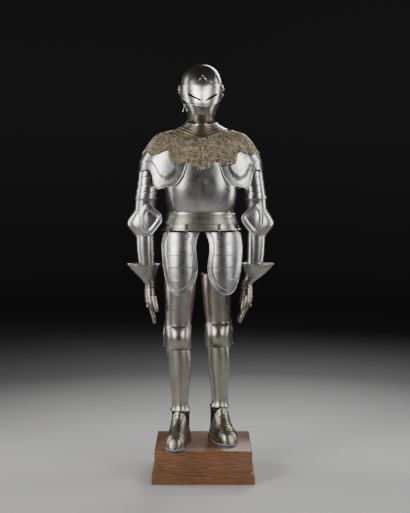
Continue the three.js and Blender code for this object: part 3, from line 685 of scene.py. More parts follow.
# Each tasset is one long plate with a rounded foot. A flat border runs round it, and
# the raised panel inside is worked as five overlapping lames.
def border_depths(bm, keep, softness=24):
    """How far each place of a sheet lies from its open edges, in metres, with soft corners."""
    marks = []
    for chain in edge_chains(bm, keep):
        for start, end in zip(chain, chain[1:]):
            steps = max(1, int((end - start).length / 0.002))
            marks += [start.lerp(end, i / steps) for i in range(steps)] + [end]
    border = kdtree.KDTree(len(marks))
    for i, mark in enumerate(marks):
        border.insert(mark, i)
    border.balance()
    depths = [border.find(vert.co)[2] for vert in bm.verts]
    for _ in range(softness):
        depths = [depth if vert.is_boundary else
                  sum(depths[e.other_vert(vert).index] for e in vert.link_edges) / len(vert.link_edges)
                  for vert, depth in zip(bm.verts, depths)]
    spots = kdtree.KDTree(len(bm.verts))
    for vert in bm.verts:
        spots.insert(vert.co, vert.index)
    spots.balance()

    def depth_at(co):
        near = [(depths[i], 1 / (away + 1e-5)) for _, i, away in spots.find_n(co, 4)]
        return sum(depth * weight for depth, weight in near) / sum(weight for _, weight in near)
    return depth_at


TASSET_BORDER = 0.021
TASSET_TOP = 1.1455
TASSET_RIVETS = [(36, 1137), (116, 1137), (165, 1137), (44, 1096), (44, 1040), (38, 985),
                 (170, 1096), (170, 1040), (165, 985), (50, 930), (152, 930), (108, 872)]


def from_front(side, spots, reach=0.4):
    """Rays straight in from before the suit, at places (x, z) in millimetres."""
    return [(SUIT @ Vector((side * x / 1000, -reach, z / 1000)), INWARD) for x, z in spots]


for name, side in SIDES.items():
    bm = smoothed(outer_face(f"tasset_{name}"), 3)
    depth = border_depths(bm, below(TASSET_TOP))
    raised(bm, lambda co: 0.0034 * eased_step(depth(co), TASSET_BORDER, 0.0035))
    edges = edge_chains(bm, everywhere)
    lames(bm, level_cuts([1096, 1040, 985, 930]), 0.0022, 0.05,
          inside=lambda co: depth(co) > TASSET_BORDER + 0.005)
    tasset = walled(f"tasset_steel_{name}", bm, f"tasset_{name}")
    turned_edge(f"tasset_edge_{name}", edges, RIM_RADIUS)
    fitting(f"tasset_rivets_{name}", rivets(tasset, from_front(side, TASSET_RIVETS), 0.0024))


# Straps of waxed leather with sewn edges hang the tassets from the fauld. Each inner one
# closes on an iron buckle with a tongue and a keeper.
def waxed_leather():
    material, graph, shader = new_material("waxed_leather", roughness=0.6)
    plain = placed_coordinates(graph)
    patch = noise(graph, plain, 60, 5)
    grain = noise(graph, plain, 900, 3)
    graph.links.new(ramp(graph, patch, [
        (0.3, (0.035, 0.027, 0.020)), (0.55, (0.075, 0.058, 0.043)), (0.75, (0.14, 0.11, 0.085)),
    ]), shader.inputs["Base Color"])
    graph.links.new(spread(graph, patch, 0.42, 0.7), shader.inputs["Roughness"])
    bumped(graph, shader, [(grain, 0.4), (patch, 0.3)], 0.0005)
    return material


def linen_thread():
    material, graph, shader = new_material("linen_thread", roughness=0.85)
    tone = noise(graph, placed_coordinates(graph), 300, 3)
    graph.links.new(ramp(graph, tone, [(0.3, (0.18, 0.14, 0.09)), (0.7, (0.34, 0.28, 0.2))]),
              shader.inputs["Base Color"])
    return material


LEATHER = waxed_leather()
THREAD = linen_thread()


def bars(places, radius, sides=8):
    """Short round bars from place to place."""
    return joined([bead([list(pair)], radius, sides) for pair in places])


for strap, x, low, high in (("strap_inner_right", -76, 1096, 1180), ("strap_inner_left", 76, 1096, 1180),
                            ("strap_outer_right", -158, 1102, 1172)):
    bm = merged(strap)
    tree = BVHTree.FromBMesh(bm)
    shown(f"{strap}_leather", bm, LEATHER, nodes=[strap], edge=0.0006)
    stitches = []
    for edge in (-5, 5):
        for z in np.arange(low, high, 5.0):
            ends = []
            for ray in from_front(1, [(x + edge, z), (x + edge, z + 3)]):
                ends.append(tree.ray_cast(*ray)[0])
            if all(ends):
                stitches.append([end + Vector((0, -0.0001, 0)) for end in ends])
    shown(f"{strap}_stitches", bars(stitches, 0.0005, 4), THREAD)
    fitting(f"{strap}_rivets", rivets(tree, from_front(1, [(x, low + 5), (x, high - 4)]), 0.003))

for name in SIDES:
    fitting(f"buckle_frame_{name}", merged(f"buckle_{name}"), nodes=[f"buckle_{name}"], edge=0.0011)
    low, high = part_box(f"buckle_{name}")
    middle = (low + high) / 2
    front = low.y
    tongue = bars([(Vector((middle.x, front - 0.0004, high.z - 0.001)),
                    Vector((middle.x, front - 0.0004, low.z + 0.001)))], 0.0012)
    keeper = eased_block((middle.x - 0.0095, front - 0.0005, low.z - 0.011),
                         (middle.x + 0.0095, front + 0.0015, low.z - 0.006), 0.0005, 2)
    fitting(f"buckle_tongue_{name}", tongue)
    fitting(f"buckle_keeper_{name}", keeper, edge=0.0003)


# Pauldrons: a shoulder cap with a large front and back flap. A sunk border follows the
# inner and lower edge of each flap, and the edge itself is turned over.
PAULDRON_BORDER = 0.034
PAULDRON_TOP = 1.6
PAULDRON_SUNK = 0.0036
for name, side in SIDES.items():
    bm = smoothed(outer_face(f"pauldron_{name}"), 3)
    depth = border_depths(bm, below(PAULDRON_TOP))
    raised(bm, lambda co: PAULDRON_SUNK * (eased_step(depth(co), PAULDRON_BORDER, 0.004) - 1))
    edges = edge_chains(bm, below(PAULDRON_TOP))
    shoulder = walled(f"pauldron_steel_{name}", bm, f"pauldron_{name}")
    turned_edge(f"pauldron_edge_{name}", edges, 0.0030)
    spots = [(SUIT @ Vector((side * x / 1000, way * 0.5, z / 1000)), -way * INWARD)
             for x, z in ((242, 1452), (120, 1392), (160, 1380), (200, 1376), (104, 1420))
             for way in (-1, 1)]
    fitting(f"pauldron_rivets_{name}", rivets(shoulder, spots, 0.003))


# Arm harness: tubes above and below the elbow, closed by a hinge down the side, and an
# elbow cop with a heart-shaped wing that is raised inside its border.
ARM_X = 0.255
UPPER_ARM_HEM = 1.3045
LOWER_CANNON_ENDS = (1.2165, 1.3018)
ELBOW_ENDS = (1.1265, 1.2455)
FOREARM_TOP = 1.1515
WING_RIVETS = [(252, 1262), (256, 1146), (198, 1212), (282, 1205), (250, 1205)]


def arm_axis(side, z):
    """The middle of an arm at a height in metres."""
    return SUIT @ Vector((side * ARM_X, 0, z))


for name, side in SIDES.items():
    upper = plate(f"upper_arm_steel_{name}", f"upper_cannon_{name}", levels=2,
                  cuts=level_cuts([1440, 1402, 1366, 1332]), rise=0.0016, length=0.02,
                  rims=below(UPPER_ARM_HEM), rim=0.0030)
    lower = plate(f"lower_arm_steel_{name}", f"lower_cannon_{name}", levels=2,
                  rims=outside(*LOWER_CANNON_ENDS), rim=0.0026)
    plate(f"elbow_cop_{name}", f"couter_{name}", levels=3, rims=outside(*ELBOW_ENDS), rim=0.0028)
    bm = smoothed(outer_face(f"couter_wing_{name}"), 3)
    depth = border_depths(bm, everywhere)
    raised(bm, lambda co: 0.0030 * math.exp(-((depth(co) - 0.017) / 0.0035) ** 2)
           - 0.0022 * eased_step(depth(co), 0.019, 0.006))
    edges = edge_chains(bm, everywhere)
    wing = walled(f"elbow_wing_steel_{name}", bm, f"couter_wing_{name}")
    turned_edge(f"elbow_wing_edge_{name}", edges, 0.0024)
    fore = plate(f"forearm_steel_{name}", f"vambrace_{name}", levels=2,
                 rims=above(FOREARM_TOP), rim=0.0024)
    heads = [rivets(wing, from_front(side, WING_RIVETS, 0.3), 0.0034)]
    for tree, levels in ((upper, (1.318, 1.425)), (lower, (1.29, 1.232)), (fore, (1.13, 1.01, 0.99))):
        heads.append(rivets(tree, [(arm_axis(side, z) + TURN @ Vector((turn * 0.12, 0.012, 0)),
                                    TURN @ Vector((-turn, 0, 0)))
                                   for z in levels for turn in (-1, 1)]))
    fitting(f"arm_rivets_{name}", joined(heads))
    seams = []
    for tree, low, high in ((upper, 1320, 1440), (fore, 996, 1148)):
        chain = []
        for z in range(low, high, 8):
            hit = tree.ray_cast(arm_axis(side, z / 1000) + TURN @ Vector((-side * 0.12, -0.014, 0)),
                                TURN @ Vector((side, 0, 0)))[0]
            if hit:
                chain.append(hit)
        if len(chain) > 2:
            seams.append(chain)
    turned_edge(f"arm_seams_{name}", seams, 0.0012)
    straps = []
    for tree, z in ((upper, 1.312), (fore, 1.04)):
        ring = []
        for angle in range(0, 360, 10):
            way = way_out(angle)
            hit = tree.ray_cast(arm_axis(side, z) + way * 0.12, -way)[0]
            if hit:
                ring.append(hit - way * 0.0002)
        if len(ring) > 30:
            straps.append(ring + [ring[0]])
    fitting(f"arm_bands_{name}", bead(straps, 0.0016))


# Gauntlets: a flared cuff with a turned rim, three lames over the hand, a row of
# knuckles, and four fingers and a thumb of small overlapping scales.
FINGER_LEVELS = [(793, 770), (772, 750), (752, 731), (733, 716)]
FINGER_END = 712
CUFF_TOP = 0.9915
HAND = {"right": {"wrist": 240, "tip": 214}, "left": {"wrist": 219, "tip": 176}}
for name, side in SIDES.items():
    arm = HAND[name]
    cuff = plate(f"cuff_steel_{name}", f"gauntlet_cuff_{name}", LOW_STEEL, levels=2,
                 cuts=level_cuts([906]), rise=0.0014, length=0.014,
                 rims=above(CUFF_TOP), rim=0.0026)
    hand = plate(f"hand_lames_{name}", f"gauntlet_hand_{name}", FOOT_HAND_STEEL, levels=2,
                 cuts=level_cuts([868, 851, 834, 817]), rise=0.0018, length=0.016)
    middle_x = (arm["wrist"] + arm["tip"]) / 2
    rows = [(796, arm["wrist"] - 11, 27, 44), (776, middle_x - 2, 23, 42), (752, middle_x - 9, 19, 40),
            (730, arm["tip"] + 2, 16, 36), (715, arm["tip"], 11, 28)]
    rows = [[float(v) for v in row] for row in rows][::-1]

    def finger_place(z, share):
        """A finger's middle line at a height, share -1 to 1 across the hand, and its half width."""
        levels = [row[0] for row in rows]
        x, half, reach = (float(np.interp(z, levels, [row[i] for row in rows])) for i in (1, 2, 3))
        return SUIT @ Vector((side * (x + half * 0.36) / 1000, share * reach * 0.76 / 1000, z / 1000))

    scales, knuckles = [], []
    for number, share in enumerate((-1, -0.36, 0.32, 0.96)):
        shorter = (6, 0, 2, 9)[number]
        for top, low in FINGER_LEVELS:
            if low - shorter < FINGER_END:
                low = FINGER_END + shorter
            start, end = finger_place(top, share), finger_place(low, share * 0.97)
            way = end - start
            turn = way.to_track_quat("Z", "X").to_matrix().to_4x4()
            scale = bmesh.new()
            wide = 0.0105 if top > 740 else 0.0092
            bmesh.ops.create_cone(scale, cap_ends=True, segments=14, radius1=wide, radius2=wide * 0.93,
                                  depth=way.length * 1.12,
                                  matrix=Matrix.Translation((start + end) / 2) @ turn)
            rims = [e for e in scale.edges if e.calc_face_angle(0) > 1]
            bmesh.ops.bevel(scale, geom=rims, offset=0.0022, segments=3, profile=0.5,
                            affect="EDGES", material=-1)
            scales.append(scale)
        knob = bmesh.new()
        spot = finger_place(799, share) + TURN @ Vector((side * 0.012, 0, 0))
        bmesh.ops.create_uvsphere(knob, u_segments=14, v_segments=8, radius=0.0095,
                                  matrix=Matrix.Translation(spot) @ Matrix.Diagonal((0.8, 1, 0.9, 1)))
        knuckles.append(knob)
    shown(f"finger_scales_{name}", joined(scales), FOOT_HAND_STEEL,
          nodes=[f"gauntlet_fingers_{name}"])
    shown(f"knuckles_{name}", joined(knuckles), FOOT_HAND_STEEL)
    plate(f"thumb_scales_{name}", f"gauntlet_thumb_{name}", FOOT_HAND_STEEL, 2,
          cuts=level_cuts([832, 816, 800, 786]), rise=0.0014, length=0.014)
    hand_x = side * (arm["wrist"] - 5) / 1000
    outward = TURN @ Vector((side, 0, 0))
    heads = [rivets(tree, [(SUIT @ Vector((hand_x, 0, z)) + outward * reach + Vector((0, y, 0)), -outward)
                           for z, y in places], radius)
             for tree, reach, radius, places in (
                 (hand, 0.12, 0.0022, [(z, y) for z in (0.874, 0.857, 0.84, 0.823, 0.804)
                                       for y in (-0.028, 0.028)]),
                 (cuff, 0.2, 0.0026, [(0.915, -0.02), (0.915, 0.02), (0.972, 0.0)]))]
    fitting(f"hand_rivets_{name}", joined(heads))


# The mail cape hangs over the shoulders, cut with dags along its hem. It is made of
# small flattened brassy rings, each row leaning the other way from the last.
RING = {"radius": 0.0052, "wire": 0.00105, "across": 0.0084, "down": 0.0073, "lift": 0.0005}
NECK_LINE = 1.6185


def brassy_rings():
    material, graph, shader = new_material("brassy_rings", metallic=1.0)
    geometry = graph.nodes.new("ShaderNodeNewGeometry")
    each = geometry.outputs["Random Per Island"]
    worn = noise(graph, placed_coordinates(graph), 14, 4)
    bright = ramp(graph, each, [
        (0.0, (0.20, 0.165, 0.105)), (0.5, (0.58, 0.51, 0.37)), (1.0, (0.92, 0.86, 0.70)),
    ])
    shade = ramp(graph, worn, [(0.35, (0.72, 0.68, 0.6)), (0.65, (1.1, 1.08, 1.05))])
    graph.links.new(mixed(graph, 1.0, bright, shade, "MULTIPLY"), shader.inputs["Base Color"])
    graph.links.new(spread(graph, worn, 0.28, 0.42), shader.inputs["Roughness"])
    return material


# A dark sheet just under the rings, darker in spots: painted shade between and behind the rings.
def ring_shadow():
    material, graph, shader = new_material("ring_shadow", metallic=0.6)
    cells = new_node(graph, "ShaderNodeTexVoronoi", {
        "Scale": 150, "Vector": placed_coordinates(graph)}).outputs["Distance"]
    graph.links.new(ramp(graph, cells, [
        (0.15, (0.020, 0.017, 0.012)), (0.6, (0.12, 0.10, 0.065)),
    ]), shader.inputs["Base Color"])
    graph.links.new(spread(graph, cells, 0.5, 0.8), shader.inputs["Roughness"])
    bumped(graph, shader, [(cells, 0.8)], 0.0012)
    return material


RINGS = brassy_rings()
SHADOW = ring_shadow()

cape = smoothed(outer_face("mail_cape"), 2)
cape_tree = BVHTree.FromBMesh(cape)
# The sheet of painted shade is sunk just below the rings.
raised(cape, lambda co: -0.0009)
cape_area = sum(face.calc_area() for face in cape.faces)
ring_shade_sheet = shown("mail_painted_shade_sheet", cape, SHADOW, nodes=["mail_cape"], wall=0.0011)

# Lines run down the cape from the neck, and each row of rings lies at one distance along them
lines = []
for angle in np.arange(0, 360, 1.5):
    way = way_out(angle)
    line = []
    for z in np.concatenate([np.arange(NECK_LINE, 1.585, -0.0006), np.arange(1.585, 1.41, -0.0015)]):
        middle = trunk_axis(float(z))
        hit, normal, _, _ = cape_tree.ray_cast(middle + way * 0.4, -way)
        if hit is None or (hit - middle).dot(way) < 0.03:
            if line:
                break
            continue
        if line and (hit - line[-1][0]).length > 0.02:
            break
        line.append((hit, normal))
    lengths = [0.0]
    for first, second in zip(line, line[1:]):
        lengths.append(lengths[-1] + (second[0] - first[0]).length)
    lines.append((np.array(lengths), np.array([h for h, _ in line]), np.array([n for _, n in line])))


def along(line, distance):
    lengths, places, normals = line
    if not len(places) or distance > lengths[-1]:
        return None
    place = [np.interp(distance, lengths, places[:, i]) for i in range(3)]
    normal = [np.interp(distance, lengths, normals[:, i]) for i in range(3)]
    return Vector(place), Vector(normal).normalized()


spots = []
row, distance = 0, 0.003
while distance < 0.36:
    marks = [along(line, distance) for line in lines]
    marks.append(marks[0])
    carried = (row % 2) * RING["across"] / 2
    for first, second in zip(marks, marks[1:]):
        if first is None or second is None:
            carried = (row % 2) * RING["across"] / 2
            continue
        way = second[0] - first[0]
        while carried < way.length:
            share = carried / way.length
            normal = first[1].lerp(second[1], share).normalized()
            tangent = (way - normal * way.dot(normal)).normalized()
            spots.append((first[0] + way * share, normal, tangent, row))
            carried += RING["across"]
        carried -= way.length
    row += 1
    distance += RING["down"]

wire = bmesh.new()
section = Matrix.Translation((RING["radius"], 0, 0)) @ Matrix.Rotation(math.pi / 2, 4, "X")
bmesh.ops.create_circle(wire, cap_ends=False, segments=4, radius=RING["wire"], matrix=section)
bmesh.ops.spin(wire, geom=wire.edges[:], cent=(0, 0, 0), axis=(0, 0, 1), angle=2 * math.pi, steps=9,
               use_merge=True)
bmesh.ops.recalc_face_normals(wire, faces=wire.faces[:])
ring_mesh = bpy.data.meshes.new("ring")
wire.to_mesh(ring_mesh)
wire.free()
ring_places = np.array([v.co for v in ring_mesh.vertices])
ring_faces = np.array([list(p.vertices) for p in ring_mesh.polygons])
bpy.data.meshes.remove(ring_mesh)
PER_PIECE = 2300
for number in range(0, len(spots), PER_PIECE):
    placed, faces = [], []
    for place, normal, tangent, row in spots[number:number + PER_PIECE]:
        lean = math.radians(27 if row % 2 else -27) + random.uniform(-0.12, 0.12)
        axes = Matrix((tangent, normal.cross(tangent), normal)).transposed().to_4x4()
        turn = axes @ Matrix.Rotation(lean, 4, "Y") @ Matrix.Rotation(random.uniform(-0.15, 0.15), 4, "X")
        centre = np.array(place + normal * RING["lift"])
        faces.append(ring_faces + len(placed) * len(ring_places))
        placed.append(ring_places @ np.array(turn.to_3x3()).T + centre)
    mesh = bpy.data.meshes.new("mail_rings")
    mesh.from_pydata(np.concatenate(placed).tolist(), [], np.concatenate(faces).tolist())
    bm = bmesh.new()
    bm.from_mesh(mesh)
    bpy.data.meshes.remove(mesh)
    shown(f"mail_rings_{number // PER_PIECE + 1}", bm, RINGS)


# The gorget: a collar lame and a spreading lame in front and behind, under the helmet,
# with a turned edge at the neck and a raised line between the lames.
BROWN_STEEL = satin_steel("brown_steel", (0.50, 0.455, 0.385), (0.30, 0.25, 0.19), 0.28, 0.42)
GORGET = [(77, 80, 74, 1637, 1656, 1663), (84, 88, 81, 1626, 1648, 1650), (92, 96, 90, 1614, 1642, 1637),
          (95, 99, 93, 1614, 1642, 1637), (108, 110, 102, 1600, 1635, 1620),
          (122, 119.4, 110.6, 1587.4, 1627.2, 1606)]
GORGET_LINES = (0.0, 1.0, 2.5, 4.0, 5.0)


for name, angles in (("front", np.linspace(-88, 88, 45)), ("back", np.linspace(92, 268, 45))):
    plate(f"gorget_steel_{name}", f"gorget_{name}", BROWN_STEEL, levels=2)
    lines = []
    for share in GORGET_LINES:
        row = [float(np.interp(share, range(6), [r[i] for r in GORGET])) / 1000 for i in range(6)]
        line = []
        for angle in angles:
            sine, cosine = math.sin(math.radians(angle)), math.cos(math.radians(angle))
            reach, level = (row[1], row[3]) if cosine > 0 else (row[2], row[5])
            power = 2 / 2.1
            x = row[0] * math.copysign(abs(sine) ** power, sine)
            y = -reach * math.copysign(abs(cosine) ** power, cosine)
            z = row[4] + (level - row[4]) * abs(cosine) ** 3.4
            line.append(SUIT @ Vector((x, y, z)))
        lines.append(line)
    turned_edge(f"gorget_edge_{name}", lines[::len(lines) - 1], 0.0024, BROWN_STEEL)
    turned_edge(f"gorget_line_{name}", lines[1:-1], 0.0017, BROWN_STEEL)


# The close helmet: a skull with a neck guard, a bevor with a turned neck rim, and a
# keeled visor with two slanted sights. Bevor and visor turn on one pair of side pins.
PIVOT = Vector((0, -0.005, 1.813))
SKULL = {"half": 0.096, "radius": 0.117, "power": 2.4}
BEVOR_OUT = 0.0032
VISOR_OUT = 0.0064
SKULL_LOWER = [(1657, 76.5, 70, 78), (1666, 62, 70, 72), (1676, 57, 72, 74), (1692, 59, 80, 80),
               (1717, 68, 92, 92), (1742, 79.5, 106, 104), (1780, 92, 115, 114), (1813, 96, 117, 117)]
BEVOR_LOWER = [(1643, 54, 71, 80), (1649, 51.5, 70, 80), (1662, 54, 82, 84), (1676, 61.2, 97, 84),
               (1692, 63.2, 117, 86), (1717, 72.2, 128, 96), (1742, 83.8, 133, 108),
               (1780, 96, 129, 118), (1813, 99.2, 120.2, 120.2)]
VISOR_LOWER = [(1725, 85, 120, 120), (1745, 90.5, 123, 122), (1780, 99.6, 124, 122),
               (1788, 101.2, 124, 122.5), (1813, 102.4, 123.4, 123.4)]
SKULL_HEM = [(0, 1826), (20, 1826), (40, 1825), (58, 1824), (70, 1823), (79, 1681), (92, 1681),
             (106, 1681), (113, 1657.2), (130, 1658.5), (152, 1661.5), (180, 1664)]
BEVOR_TOP = [(0, 1742), (40, 1742), (55, 1748), (66, 1772), (74, 1812), (80, 1832), (88, 1838),
             (100, 1832)]
VISOR_EDGES = [(0, 1725, 1873), (4, 1726, 1858), (10, 1729, 1844), (22, 1736, 1836), (38, 1750, 1831),
               (54, 1766, 1823), (68, 1779, 1820), (77, 1787, 1827), (88, 1791, 1836), (98, 1797, 1830)]
VISOR_PROW = [(1725, 21), (1745, 22), (1780, 23), (1813, 19), (1850, 9), (1873, 2)]
KEEL_REACH = 72
SKULL_TURNED = 1.70
BEVOR_HEM = 1.6435
HELMET_EASE = 0.0003
BREATH_RADIUS = 0.0027
SIGHT_MIDDLE = (0.038, -0.115, 1.7675)
SIGHT_LEAN = math.radians(29)
SIGHT_CORNERS = [(-0.033, -0.0028), (-0.0315, -0.0045), (0.0315, -0.0045), (0.033, -0.0028),
                 (0.033, 0.0028), (0.0315, 0.0045), (-0.0315, 0.0045), (-0.033, 0.0028)]


def eased_at(rows, key, column):
    """A smooth curve through a column of a table, by its first column."""
    keys = [row[0] for row in rows]
    values = [row[column] for row in rows]
    if key <= keys[0] or key >= keys[-1]:
        return values[0] if key <= keys[0] else values[-1]
    i = next(n for n in range(len(keys) - 1) if keys[n + 1] >= key)
    steps = [(values[n + 1] - values[n]) / (keys[n + 1] - keys[n]) for n in range(len(keys) - 1)]

    def slope(n):
        if n in (0, len(keys) - 1):
            return steps[0] if n == 0 else steps[-1]
        before, after = steps[n - 1], steps[n]
        return 0.0 if before * after <= 0 else 2 * before * after / (before + after)

    wide = keys[i + 1] - keys[i]
    t = (key - keys[i]) / wide
    return ((2 * t ** 3 - 3 * t ** 2 + 1) * values[i] + (t ** 3 - 2 * t ** 2 + t) * wide * slope(i)
            + (3 * t ** 2 - 2 * t ** 3) * values[i + 1] + (t ** 3 - t ** 2) * wide * slope(i + 1))


def helmet_radius(lower, angle, z, out):
    """How far the helmet's wall is from the pivots' upright line, one way, at one level."""
    sine, cosine = math.sin(math.radians(angle)), math.cos(math.radians(angle))
    power = SKULL["power"]
    if z < PIVOT.z:
        wide, front, rear = (eased_at(lower, z * 1000, column) / 1000 for column in (1, 2, 3))
        reach = front if cosine > 0 else rear
        return (abs(sine / wide) ** power + abs(cosine / reach) ** power) ** (-1 / power)
    low, high, rise = 0.0, 0.24, z - PIVOT.z
    for _ in range(26):
        middle = (low + high) / 2
        side = abs(middle * sine) / (SKULL["half"] + out)
        turned = math.hypot(middle * cosine, rise) / (SKULL["radius"] + out)
        if side ** power + turned ** power < 1:
            low = middle
        else:
            high = middle
    return low


def round_pivot(angle, radius, z):
    turn = math.radians(angle)
    return Vector((radius * math.sin(turn), PIVOT.y - radius * math.cos(turn), z))


def helmet_sheet(columns, rows, place, keeled=True):
    """A grid of quads laid over place(across, down), both from 0 to 1, sharp at its keel."""
    bm = bmesh.new()
    bmesh.ops.create_grid(bm, x_segments=columns, y_segments=rows, size=0.5)
    for vert in bm.verts:
        vert.co = SUIT @ place(vert.co.x + 0.5, vert.co.y + 0.5)
    bmesh.ops.remove_doubles(bm, verts=bm.verts[:], dist=2e-5)
    for edge in bm.edges:
        if keeled and all(abs((SUIT.inverted() @ v.co).x) < 1e-5 for v in edge.verts):
            edge.smooth = False
    bm.normal_update()
    middle = SUIT @ PIVOT
    if sum(f.normal.dot(f.calc_center_median() - middle) * f.calc_area() for f in bm.faces) < 0:
        bmesh.ops.reverse_faces(bm, faces=bm.faces[:])
    bm.normal_update()
    return bm


def pierced(bm, middle, across, up, corners, reach):
    """Cuts a hole with straight sides through a sheet, square to across and up."""
    outline = [middle + across * x + up * z for x, z in corners]
    inward = across.cross(up)
    planes = []
    for first, second in zip(outline, outline[1:] + outline[:1]):
        planes.append((first, (second - first).cross(inward).normalized()))
    centre = sum(outline, Vector()) / len(outline)
    planes = [(place, way if (centre - place).dot(way) < 0 else -way) for place, way in planes]

    def near(co):
        away = co - middle
        return max(abs(away.dot(across)), abs(away.dot(up))) < reach and abs(away.dot(inward)) < 0.06

    for place, way in planes:
        faces = [f for f in bm.faces if near(f.calc_center_median())]
        bmesh.ops.bisect_plane(bm, geom=with_parts(faces), dist=1e-6, plane_co=place, plane_no=way)
    gone = [f for f in bm.faces if near(f.calc_center_median())
            and all((f.calc_center_median() - place).dot(way) < 0 for place, way in planes)]
    bmesh.ops.delete(bm, geom=gone, context="FACES")


def skull_place(across, down):
    angle = (across - 0.5) * 360
    hem = eased_at(SKULL_HEM, abs(angle), 1) / 1000
    start = 1.852
    crown = math.acos((start - PIVOT.z) / SKULL["radius"])
    if down < 0.5:
        z = PIVOT.z + SKULL["radius"] * math.cos(down / 0.5 * crown)
    else:
        z = start + (hem - start) * (down - 0.5) * 2
    if down == 0:
        return Vector((0, PIVOT.y, PIVOT.z + SKULL["radius"]))
    return round_pivot(angle, helmet_radius(SKULL_LOWER, angle, z, 0), z)


def bevor_place(across, down):
    angle = (across - 0.5) * 200
    top = eased_at(BEVOR_TOP, abs(angle), 1) / 1000
    z = top + (BEVOR_LOWER[0][0] / 1000 - top) * down
    keel = 0.006 * max(0, 1 - abs(angle) / 45) ** 1.5 * eased_step(z, 1.655, 0.02)
    return round_pivot(angle, helmet_radius(BEVOR_LOWER, angle, z, BEVOR_OUT) + keel, z)


def visor_place(across, down):
    angle = (across - 0.5) * 196
    low, high = (eased_at(VISOR_EDGES, abs(angle), column) / 1000 for column in (1, 2))
    z = high + (low - high) * down
    prow = eased_at(VISOR_PROW, z * 1000, 1) / 870 * max(0, 1 - abs(angle) / KEEL_REACH) ** 2.3
    return round_pivot(angle, helmet_radius(VISOR_LOWER, angle, z, VISOR_OUT) + prow, z)


# A much darker copy of the steel for the skull: painted shade.
SKULL_SHADED_STEEL = satin_steel("skull_steel_painted_shade", (0.33, 0.32, 0.30), (0.19, 0.18, 0.16), 0.26, 0.40)
# A darker, browner copy for the bevor: the brown tint is the steel's own, and the darkness is painted
# shade.
BEVOR_SHADED_STEEL = satin_steel("bevor_steel_painted_shade", (0.42, 0.40, 0.355), (0.25, 0.23, 0.195), 0.26, 0.40)
# A lighter copy of the steel for the visor: painted highlight.
VISOR_LIT_STEEL = satin_steel("visor_steel_painted_highlight", (0.66, 0.66, 0.64), (0.48, 0.47, 0.44), 0.22, 0.34)
skull = helmet_sheet(96, 44, skull_place, keeled=False)
skull_edges = edge_chains(skull, below(SKULL_TURNED))
skull_tree = walled("skull_plate", skull, "helmet_skull", SKULL_SHADED_STEEL, ease=HELMET_EASE)
turned_edge("skull_edge", skull_edges, 0.0016, SKULL_SHADED_STEEL)

bevor = helmet_sheet(110, 64, bevor_place)
hole = [(BREATH_RADIUS * math.cos(math.radians(turn)), BREATH_RADIUS * math.sin(math.radians(turn)))
        for turn in range(0, 360, 45)]
for side, z in ((-1, 1.7035), (1, 1.7015)):
    pierced(bevor, SUIT @ Vector((side * 0.034, -0.11, z)), TURN @ Vector((1, 0, 0)), UP, hole, 0.008)
bevor_edges = edge_chains(bevor, below(BEVOR_HEM))
bevor_tree = walled("bevor_plate", bevor, "helmet_bevor", BEVOR_SHADED_STEEL, "bevor", HELMET_EASE)
turned_edge("bevor_neck_rim", bevor_edges, 0.0034, body="bevor")

visor = helmet_sheet(128, 34, visor_place)
x, y, z = SIGHT_MIDDLE
for side in (-1, 1):
    lean = SIGHT_LEAN * side
    across = TURN @ Vector((math.cos(lean), 0, math.sin(lean)))
    up = TURN @ Vector((-math.sin(lean), 0, math.cos(lean)))
    pierced(visor, SUIT @ Vector((side * x, y, z)), across, up, SIGHT_CORNERS, 0.036)
outer = max(edge_chains(visor, everywhere), key=len)
walled("visor_plate", visor, "helmet_visor", VISOR_LIT_STEEL, "visor", HELMET_EASE)
turned_edge("visor_edge", [outer], 0.0016, VISOR_LIT_STEEL, "visor")
fitting("cheek_fork", merged("helmet_fork"), "bevor", ["helmet_fork"], 0.0012)


def turned(profile, steps, weld):
    """A shape turned round an upright axis from a line of places (radius, level)."""
    bm = bmesh.new()
    line = [bm.verts.new((radius, 0, level)) for radius, level in profile]
    for first, second in zip(line, line[1:]):
        bm.edges.new((first, second))
    bmesh.ops.spin(bm, geom=bm.verts[:] + bm.edges[:], cent=(0, 0, 0), axis=(0, 0, 1),
                   angle=2 * math.pi, steps=steps, use_merge=True)
    bmesh.ops.remove_doubles(bm, verts=bm.verts[:], dist=weld)
    bmesh.ops.recalc_face_normals(bm, faces=bm.faces[:])
    return bm


for name, side in SIDES.items():
    inner, seat = SKULL["half"] - 0.0048, SKULL["half"] + VISOR_OUT + 0.0003
    profile = [(0, inner), (0.004, inner), (0.004, seat), (0.0075, seat), (0.0075, seat + 0.0018),
               (0.0068, seat + 0.0032), (0.0052, seat + 0.0052), (0.003, seat + 0.0066), (0, seat + 0.0072)]
    pin = turned(profile, 28, 1e-6)
    place = SUIT @ Matrix.Translation(PIVOT) @ Matrix.Rotation(side * math.pi / 2, 4, "Y")
    bmesh.ops.transform(pin, verts=pin.verts[:], matrix=place)
    fitting(f"pivot_pin_{name}", pin, nodes=[f"helmet_pivot_{name}"], edge=HELMET_EASE)

fitting("skull_rivets", ring_of_rivets(skull_tree, SUIT @ Vector((0, PIVOT.y, 1.676)),
                                       (-150, -128, 128, 150, 180), 0.3, 0.0024))
fitting("bevor_rivets", joined([
    ring_of_rivets(bevor_tree, SUIT @ Vector((0, PIVOT.y, z)), angles, 0.3, 0.0026)
    for z, angles in ((1.70, (-72, 72)), (1.74, (-78, 78)))]), "bevor")


# The camera looks a little down from chest height, over a floor that curves up all round,
# far off; a pale pool of light is painted on it round the plinth, darkening away from it.
# Two tall soft lights stand in front, and two narrow ones at the sides.
FLOOR_PROFILE = [(0.0, 0.0), (7.0, 0.0)]
FLOOR_BEND = {"radius": 2.5, "steps": 16, "top": 9.0}
LIGHT_POOL_REACH = 5.0


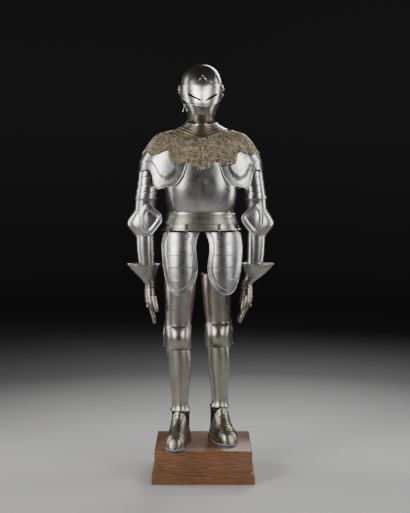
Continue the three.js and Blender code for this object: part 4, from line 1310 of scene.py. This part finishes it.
def painted_light_pool_floor():
    """Painted pool of light: pale near the plinth, darker towards the far edge so that no line shows there.
    """
    material, graph, shader = new_material("painted_light_pool_floor", roughness=0.75)
    distance = new_node(graph, "ShaderNodeTexGradient", {
        "Vector": placed_coordinates(graph, scale=[1 / LIGHT_POOL_REACH] * 3)})
    distance.gradient_type = "SPHERICAL"
    graph.links.new(ramp(graph, distance.outputs["Fac"], [
        (0.0, (0.035, 0.035, 0.036)), (0.45, (0.10, 0.10, 0.10)), (0.8, (0.40, 0.395, 0.39)),
    ]), shader.inputs["Base Color"])
    return material


flat, bend = FLOOR_PROFILE[-1][0], FLOOR_BEND["radius"]
profile = FLOOR_PROFILE + [
    (flat + bend * math.sin(turn), bend * (1 - math.cos(turn)))
    for turn in np.linspace(0, math.pi / 2, FLOOR_BEND["steps"])[1:]]
profile.append((flat + bend, FLOOR_BEND["top"]))
floor = turned(profile, 64, 1e-5)
floor_mesh = bpy.data.meshes.new("floor")
floor.to_mesh(floor_mesh)
floor.free()
floor_mesh.materials.append(painted_light_pool_floor())
floor_mesh.polygons.foreach_set("use_smooth", [True] * len(floor_mesh.polygons))
added("floor", floor_mesh)

AIM = Vector((0, 0, 1.0))
for name, place, width, height, power, colour in (
        ("key", (-3.0, -3.0, 2.3), 1.5, 2.6, 175, (1, 0.985, 0.96)),
        ("fill", (3.1, -2.9, 2.3), 1.1, 2.6, 92, (0.98, 0.99, 1)),
        ("left_strip", (-2.3, 0.5, 1.7), 0.35, 2.6, 32, (1, 1, 1)),
        ("right_strip", (2.3, 0.5, 1.7), 0.35, 2.6, 32, (1, 1, 1)),
        ("behind", (1.0, 3.2, 3.0), 1.6, 1.2, 90, (1, 1, 1))):
    lamp = bpy.data.lights.new(name, "AREA")
    lamp.shape = "RECTANGLE"
    lamp.size, lamp.size_y = width, height
    lamp.energy = power
    lamp.color = colour
    light = added(name, lamp)
    light.location = place
    light.rotation_euler = (AIM - Vector(place)).to_track_quat("-Z", "Y").to_euler()

world = bpy.data.worlds.new("studio")
world.use_nodes = True
world.node_tree.nodes["Background"].inputs["Color"].default_value = (0.04, 0.041, 0.043, 1)
world.node_tree.nodes["Background"].inputs["Strength"].default_value = 1.0
bpy.context.scene.world = world

camera_data = bpy.data.cameras.new("camera")
camera_data.sensor_width = 36
camera_data.lens = 77.2
camera_data.shift_y = -0.08
camera = added("camera", camera_data)
camera.location = (0.008, -5.19, 1.385)
camera.rotation_euler = (math.radians(90 - 1.8), 0, 0)
bpy.context.scene.camera = camera
